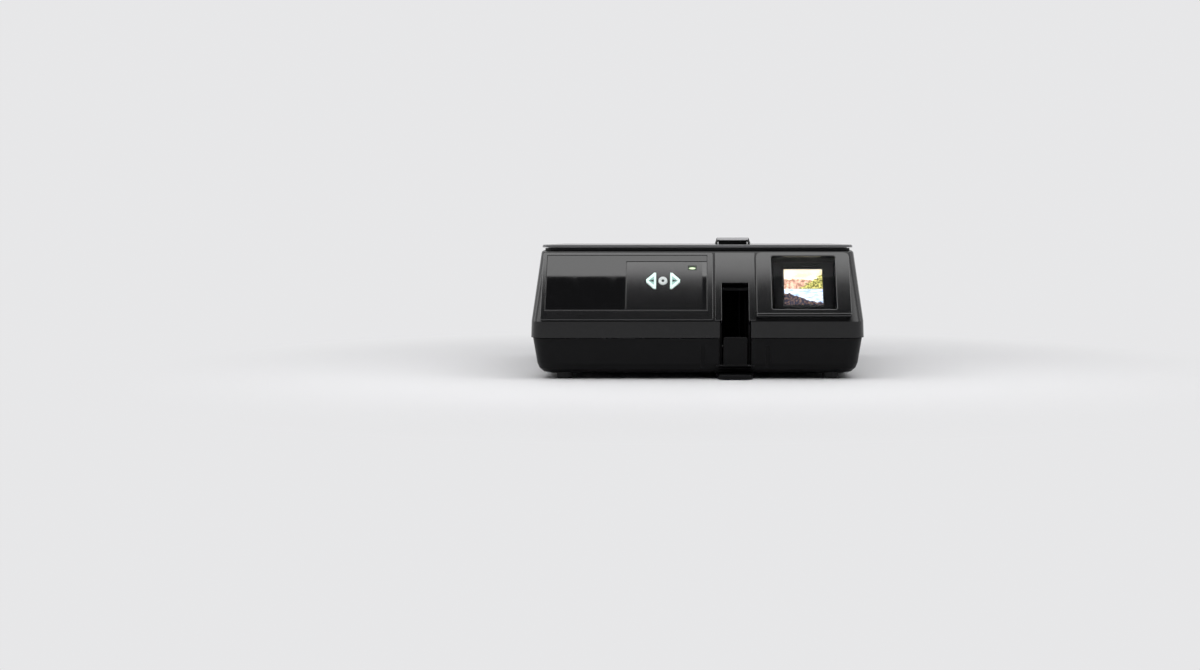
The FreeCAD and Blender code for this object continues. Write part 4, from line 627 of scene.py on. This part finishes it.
def brush(mesh, rows, count, deep, tall, wide, lean, seed, across, back, up):
    """Set bristles on a grid against one wall, turn a copy to the other wall, and move both into place."""
    grid = mesh.node("GeometryNodeMeshGrid", {"Size X": deep, "Size Y": tall, "Vertices X": rows,
                                              "Vertices Y": count})
    wall = mesh.node("ShaderNodeCombineXYZ", {"X": wide * -0.5})
    stood = grid.node("GeometryNodeTransform", {"Geometry": grid, "Translation": wall,
                                                "Rotation": (math.pi / 2, 0.0, math.pi / 2)})
    most = mesh.node("ShaderNodeCombineXYZ", {"Y": lean, "Z": lean})
    least = mesh.node("ShaderNodeCombineXYZ", {"Y": lean * -1, "Z": lean * -1})
    turned = mesh.node("FunctionNodeRandomValue", {0: least, 1: most, "Seed": seed},
                       data_type="FLOAT_VECTOR")
    tufts = stood.node("GeometryNodeInstanceOnPoints",
                       {"Points": stood, "Instance": mesh, "Rotation": turned})
    facing = tufts.node("GeometryNodeTransform", {"Geometry": tufts, "Rotation": (0.0, 0.0, math.pi)})
    both = tufts.node("GeometryNodeJoinGeometry")
    for wire in (tufts, facing):
        both.tree.links.new(wire.socket, both.socket.node.inputs[0])
    place = mesh.node("ShaderNodeCombineXYZ", {"X": across, "Y": back, "Z": up})
    return both.node("GeometryNodeTransform", {"Geometry": both, "Translation": place})


def black_bristle(at):
    dust = at.noise(0.002, 3)
    return {"Base Color": dust.mixed(rgb(0.006, 0.006, 0.0065), rgb(0.012, 0.012, 0.0125)),
            "Roughness": 0.55 + dust * 0.2}


low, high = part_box("holder_channel")
seal_middle = Vector(((low.x + high.x) / 2, high.y - SEAL_INSET, (low.z + high.z) / 2))
left, right = [inner_face("holder_channel", seal_middle, way).x for way in ((-1, 0, 0), (1, 0, 0))]
bottom = inner_face("holder_channel", seal_middle, (0, 0, -1)).z
exit_middle = Vector((seal_middle.x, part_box("upper_case")[1].y - EXIT_INSET, seal_middle.z))
top = inner_face("upper_case", exit_middle, (0, 0, 1)).z
seal_tall = top - bottom - 2 * SEAL_END_GAP
reach = (right - left) / 2 + BRISTLE_OVERLAP
brush_sizes = {"Rows": BRISTLE_ROWS, "Count": int(seal_tall / BRISTLE_GAP), "Deep": SEAL_DEEP,
               "Tall": seal_tall - 2 * BRISTLE_FOOT, "Wide": right - left, "Lean": BRISTLE_LEAN,
               "Seed": BRISTLE_SEED,
               "Across": seal_middle.x, "Back": seal_middle.y, "Up": (top + bottom) / 2}
seal_bristles = grown("seal_bristles", bristle_mesh(reach), brush_sizes,
                      finish("black_bristle", {"Specular IOR Level": 0.2}, black_bristle), brush)
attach(seal_bristles, "housing")

# Each clip is folded to a C along its wall, and a thin fin stands between its bristles.
CLIP_BASE = 0.0006
CLIP_REACH = 0.0022
CLIP_FOLD = 0.0005
FIN_THICK = 0.00015

half = SEAL_DEEP / 2 + BRISTLE_FOOT
outer = half + CLIP_FOLD
clip = [(0.0, -outer), (CLIP_REACH, -outer), (CLIP_REACH, -half), (CLIP_BASE, -half), (CLIP_BASE, half),
        (CLIP_REACH, half), (CLIP_REACH, outer), (0.0, outer)]
fin = [(CLIP_BASE, FIN_THICK), (reach, FIN_THICK), (reach, 2 * FIN_THICK), (CLIP_BASE, 2 * FIN_THICK)]
mesh = bmesh.new()
for wall, way in ((left, 1), (right, -1)):
    for outline in (clip, fin):
        capped(mesh, [[mesh.verts.new((wall + way * x, seal_middle.y + way * y, z)) for x, y in outline]
                      for z in (bottom + SEAL_END_GAP, top - SEAL_END_GAP)])
seal_clips = placed("seal_clips", baked("seal_clips", mesh))
seal_clips.data.materials.append(BLACK_METAL)
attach(seal_clips, "housing")


# Key panel: two black acrylic plates set in the fascia, with three lit keys and a light pipe.
# The plates are polished; the one round the keys is brushed satin, apart from a polished strip at its right.

STRIP_WIDE = 0.004
CRISP = 0.00005


def polished(at):
    cloud = at.noise(0.05)
    return {"Base Color": cloud.mixed(rgb(0.0020, 0.0020, 0.0023), rgb(0.0030, 0.0030, 0.0034)),
            "Roughness": 0.03 + at.noise(0.014, 4).above(0.62, 0.12) * 0.03,
            "Normal": at.noise(0.02, 1).relief(0.000004)}


def satin(at):
    cloud = at.noise(0.01, 3)
    strip = at.part("X").above(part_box("button_panel")[1].x - STRIP_WIDE, CRISP)
    return {"Base Color": cloud.mixed(rgb(0.0035, 0.0035, 0.0039), rgb(0.0050, 0.0050, 0.0055)),
            "Roughness": (1 - strip) * (0.10 + cloud * 0.02) + strip * 0.03}


dress(finish("polished_black", {"Specular IOR Level": 0.7}, polished), "name_panel")
dress(finish("satin_black", {"Specular IOR Level": 0.9}, satin), "button_panel")

# The keys are moulded in mint acrylic and lit from behind; each has a small dark mark, and the LED a lens.
TILT = math.radians(28)
MARK_LONG = 0.0046
MARK_HALF = 0.0011
RIM = 0.0017
RING_HOLE = 0.00125
SOFT = 0.00025
LENS_DROP = 0.0007
FLATTEN = 1000
PALE_MINT = rgb(0.66, 0.86, 0.80)
DEEP_MINT = rgb(0.30, 0.50, 0.45)
MARK_BLACK = rgb(0.004, 0.012, 0.010)


def upright(at, name):
    """Give places measured from a node's middle, with the tilted front stood upright."""
    low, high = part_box(name)
    centred = at.less((low + high) / 2)
    return centred.node("ShaderNodeVectorRotate", {"Vector": centred, "Angle": TILT}, rotation_type="X_AXIS")


def lit(colour, at):
    """Light a colour from behind, a little unevenly."""
    return {"Base Color": colour, "Emission Color": colour, "Roughness": 0.3 + at.noise(0.004) * 0.1}


def arrow_key(name, way):
    """Give the finish of an arrow key that points that way along X."""
    low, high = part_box(name)
    half_long = (high.x - low.x) / 2
    half_tall = (high.z - low.z) / 2

    def varied(at):
        flat = upright(at, name)
        ahead, beside = flat.part("X") * way, flat.part("Z").math("ABSOLUTE")
        inside = (half_long - ahead) * (half_tall / half_long / 2) - beside
        middle = inside.above(RIM, SOFT) * ahead.above(RIM - half_long, SOFT)
        mark = ((MARK_LONG / 2 - ahead) * (MARK_HALF / MARK_LONG) - beside).above(0.0, SOFT / 2)
        mark = mark * ahead.above(-MARK_LONG / 2, SOFT / 2)
        ground = middle.covering(DEEP_MINT, at.noise(0.003).mixed(PALE_MINT, rgb(0.80, 0.95, 0.90)))
        return lit(mark.covering(MARK_BLACK, ground), at)
    return varied


def ring_key(at):
    away = upright(at, "button_power").stretched(1, FLATTEN, 1).length()
    pale = at.noise(0.003).mixed(rgb(0.50, 0.54, 0.53), rgb(0.66, 0.70, 0.69))
    return lit((1 - away.above(RING_HOLE, SOFT)).covering(MARK_BLACK, pale), at)


def led_lens(at):
    low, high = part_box("status_led")
    half_long = (high.x - low.x) / 2
    lowered = upright(at, "status_led").less((0.0, 0.0, -LENS_DROP))
    away = lowered.stretched(half_long, FLATTEN, half_long / 3).length()
    return lit(away.above(0.85, 0.12).covering(rgb(0.010, 0.022, 0.008), rgb(0.62, 0.80, 0.50)), at)


dress(finish("back_mint", {"Emission Strength": 0.35}, arrow_key("button_back", -1)), "button_back")
dress(finish("forward_mint", {"Emission Strength": 0.35}, arrow_key("button_forward", 1)), "button_forward")
dress(finish("ring_grey", {"Emission Strength": 0.25}, ring_key), "button_power")
dress(finish("led_lens", {"Emission Strength": 0.6}, led_lens), "status_led")


# Power switch: a rocker in glossy black nylon that snaps on the pivot of its housing at the back.
# A white bar and a white ring are pad-printed on its two faces.

SIGN_APART = 0.0088
SIGN_RADIUS = 0.0017
SIGN_LINE = 0.0005
FACE_DEEP = 0.004


def rocker_signs(at):
    low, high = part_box("switch_rocker")
    centred = at.less((low + high) / 2)
    beside, up = centred.part("X"), centred.part("Z")
    away = at.node("ShaderNodeCombineXYZ", {0: beside - SIGN_APART / 2, 2: up}).length()
    circle = (SIGN_LINE / 2 - (away - SIGN_RADIUS).math("ABSOLUTE")).above(0.0, CRISP)
    across = (SIGN_LINE / 2 - (beside + SIGN_APART / 2).math("ABSOLUTE")).above(0.0, CRISP)
    bar = across * (SIGN_RADIUS - up.math("ABSOLUTE")).above(0.0, CRISP)
    printed = (circle + bar) * at.part("Y").above(high.y - FACE_DEEP, 0.0002)
    nylon_black = at.noise(0.004).mixed(rgb(0.008, 0.008, 0.0085), rgb(0.013, 0.013, 0.014))
    return {"Base Color": printed.covering(rgb(0.70, 0.70, 0.69), nylon_black),
            "Roughness": 0.24 + at.noise(0.003) * 0.08}


dress(finish("rocker_black", {"Specular IOR Level": 0.5}, rocker_signs), "switch_rocker")


# Slide viewer: a black well behind a clear acrylic window, with a mounted slide lit through an opal plate.
# The slide's picture is a plain landscape: cream sky, rosy hills, a pale lake and a dark shore.

def clear_acrylic(at):
    return {"Roughness": 0.012 + at.noise(0.012, 4).above(0.62, 0.1) * 0.03}


dress(finish("clear_acrylic", {"Transmission Weight": 1.0, "IOR": 1.12, "Base Color": rgb(0.94, 0.95, 0.96)},
             clear_acrylic), "viewer_window")

PICTURE_WIDE = 0.0338
PICTURE_HIGH = 0.0345
PICTURE_RIGHT = 0.0003
PICTURE_RISE = 0.0012


def landscape(at):
    moved = upright(at, "slide_film").less((PICTURE_RIGHT, 0.0, PICTURE_RISE))
    flat = moved.stretched(PICTURE_WIDE, 1, PICTURE_HIGH)
    up, across = flat.part("Z"), flat.part("X")
    level = flat.stretched(1, 1, FLATTEN)
    clouds = flat.stretched(2.2, 1, 1).noise(0.22, 4)
    picture = clouds.above(0.5, 0.18).mixed(rgb(0.95, 0.78, 0.50), rgb(1.0, 0.93, 0.78))
    ridge = level.noise(0.45, 3) * 0.55 - 0.06
    rocks = flat.noise(0.11, 4).above(0.5, 0.12).mixed(rgb(0.42, 0.20, 0.13), rgb(0.90, 0.60, 0.44))
    picture = (ridge - up).above(0.0, 0.012).covering(rocks, picture)
    trees = flat.noise(0.16, 3) * 0.5 + across * 0.75 - 0.22
    leaves = flat.noise(0.05, 3).above(0.5, 0.1).mixed(rgb(0.13, 0.13, 0.02), rgb(0.66, 0.60, 0.16))
    picture = (trees - up).above(0.0, 0.03).covering(leaves, picture)
    ripples = flat.stretched(5, 1, 1).noise(0.05, 3).above(0.5, 0.15)
    lake = ripples.mixed(rgb(0.38, 0.50, 0.74), rgb(0.93, 0.96, 1.0))
    picture = (-0.06 - up).above(0.0, 0.01).covering(lake, picture)
    shore = level.noise(0.3, 3) * 0.4 - across * 0.35 - 0.52
    stones = flat.noise(0.06, 3).above(0.55, 0.1).mixed(rgb(0.010, 0.010, 0.030), rgb(0.16, 0.09, 0.06))
    picture = (shore - up).above(0.0, 0.012).covering(stones, picture)
    beyond = across.math("ABSOLUTE").math("MAXIMUM", up.math("ABSOLUTE")).above(0.5, 0.004)
    picture = beyond.covering(rgb(0.002, 0.002, 0.002), picture)
    return {"Base Color": picture, "Emission Color": picture, "Roughness": 0.25 + clouds * 0.05}


dress(finish("landscape", {"Emission Strength": 0.75}, landscape), "slide_film")


# Studio: a pale paper sweep that turns up all round, a broad lamp above and behind, a near one over the
# front and two slim ones at the sides. Far from the object the sweep shows one even pale tone; near it,
# the object's shadow stays.

FLOOR_FLAT = 2.4
FLOOR_WIDE = 3.4
WALL_HIGH = 2.6
FLOOR_SIDES = 96
CURVE_STEPS = 16
PAPER_TONE = rgb(0.80, 0.80, 0.81)
FADE_START = 0.22
FADE_END = 0.55


def studio_floor():
    """Turn the sweep's profile round: flat, then up through a quarter circle."""
    bend = FLOOR_WIDE - FLOOR_FLAT
    profile = [(0.0, 0.0), (FLOOR_FLAT / 2, 0.0)]
    for step in range(CURVE_STEPS + 1):
        turn = math.pi / 2 * step / CURVE_STEPS
        profile.append((FLOOR_FLAT + bend * math.sin(turn), bend * (1 - math.cos(turn))))
    profile.append((FLOOR_WIDE, WALL_HIGH))
    mesh = bmesh.new()
    rings = []
    for radius, height in profile:
        rings.append(ring(mesh, radius, height, FLOOR_SIDES if radius else 1))
    for inner, outer in zip(rings, rings[1:]):
        for side in range(FLOOR_SIDES):
            far = (side + 1) % FLOOR_SIDES
            if len(inner) == 1:
                mesh.faces.new((inner[0], outer[side], outer[far]))
            else:
                mesh.faces.new((inner[side], outer[side], outer[far], inner[far]))
    for face in mesh.faces:
        face.smooth = True
    data = bpy.data.meshes.new("studio_floor")
    mesh.to_mesh(data)
    mesh.free()
    return placed("studio_floor", data)


def pale_paper(at):
    return {"Base Color": at.noise(0.4).mixed(rgb(0.65, 0.65, 0.66), rgb(0.68, 0.68, 0.69))}


paper = finish("pale_paper", {"Roughness": 0.8, "Specular IOR Level": 0.15}, pale_paper)
tree = paper.node_tree
at = Wire(tree).node("ShaderNodeTexCoord", output="Object")
seen = [at.node("ShaderNodeLightPath", output=title) for title in
        ("Is Camera Ray", "Is Glossy Ray", "Is Transmission Ray")]
fade = at.length().above((FADE_START + FADE_END) / 2, (FADE_END - FADE_START) / 2)
even = at.node("ShaderNodeEmission", {"Color": PAPER_TONE, "Strength": 1.0})
blended = at.node("ShaderNodeMixShader", {0: (seen[0] + seen[1] + seen[2]).math("MINIMUM", 1.0) * fade,
                                          1: Wire(tree, tree.nodes["Principled BSDF"].outputs[0]), 2: even})
tree.links.new(blended.socket, tree.nodes["Material Output"].inputs["Surface"])
floor = studio_floor()
floor.data.materials.append(paper)


def soft_lamp(name, wide, deep, radiance, place, target):
    """Hang a rectangular soft lamp of even brightness that faces a point."""
    light = bpy.data.lights.new(name, "AREA")
    light.shape = "RECTANGLE"
    light.size, light.size_y = wide, deep
    light.energy = radiance * math.pi * wide * deep
    lamp = bpy.data.objects.new(name, light)
    lamp.location = place
    lamp.rotation_euler = (Vector(target) - Vector(place)).to_track_quat("-Z", "Y").to_euler()
    bpy.context.scene.collection.objects.link(lamp)


# The near lamp's front edge lies where the polished panel mirrors it, below its upper third.
PANEL_TURN = Vector((0.0, -0.120, 0.087))
MIRROR_RISE = math.radians(54.4)
LAMP_HIGH = 0.5
LAMP_DEEP = 0.30
CASE_MIDDLE = (0.0, 0.0, 0.06)

edge = PANEL_TURN.y - (LAMP_HIGH - PANEL_TURN.z) / math.tan(MIRROR_RISE)
middle = Vector((0.0, edge + LAMP_DEEP / 2, LAMP_HIGH))
soft_lamp("lamp_near", 1.8, LAMP_DEEP, 2.7, middle, middle - Vector((0.0, 0.0, 1.0)))
soft_lamp("lamp_high", 3.4, 2.4, 1.4, (0.0, 1.0, 1.6), (0.0, 1.0, 0.0))
soft_lamp("lamp_left", 0.25, 1.2, 2.2, (-1.3, 0.35, 0.6), CASE_MIDDLE)
soft_lamp("lamp_right", 0.25, 1.2, 0.8, (1.3, 0.35, 0.6), CASE_MIDDLE)

world = bpy.data.worlds.new("studio")
world.use_nodes = True
background = world.node_tree.nodes["Background"]
background.inputs["Color"].default_value = rgb(0.95, 0.97, 1.0)
background.inputs["Strength"].default_value = 0.08
bpy.context.scene.world = world


# Camera: level, straight in front and just above the lid, as the photograph was taken.
# The object stands right of and above the middle of the picture, so the sensor is shifted.

IMAGE_WIDE = 1200
SENSOR = 36.0
SCALE = 0.000863
EYE_HEIGHT = 0.124
EYE_DISTANCE = 1.3
OBJECT_RIGHT = 97.5
HORIZON_UP = 99

camera_data = bpy.data.cameras.new("camera")
camera_data.sensor_width = SENSOR
camera_data.lens = SENSOR * EYE_DISTANCE / (IMAGE_WIDE * SCALE)
camera_data.shift_x = -OBJECT_RIGHT / IMAGE_WIDE
camera_data.shift_y = -HORIZON_UP / IMAGE_WIDE
camera = bpy.data.objects.new("camera", camera_data)
camera.location = (0.0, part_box("upper_case")[0].y - EYE_DISTANCE, EYE_HEIGHT)
camera.rotation_euler = (math.pi / 2, 0.0, 0.0)
bpy.context.scene.collection.objects.link(camera)
bpy.context.scene.camera = camera
bpy.context.scene.view_settings.view_transform = "Standard"
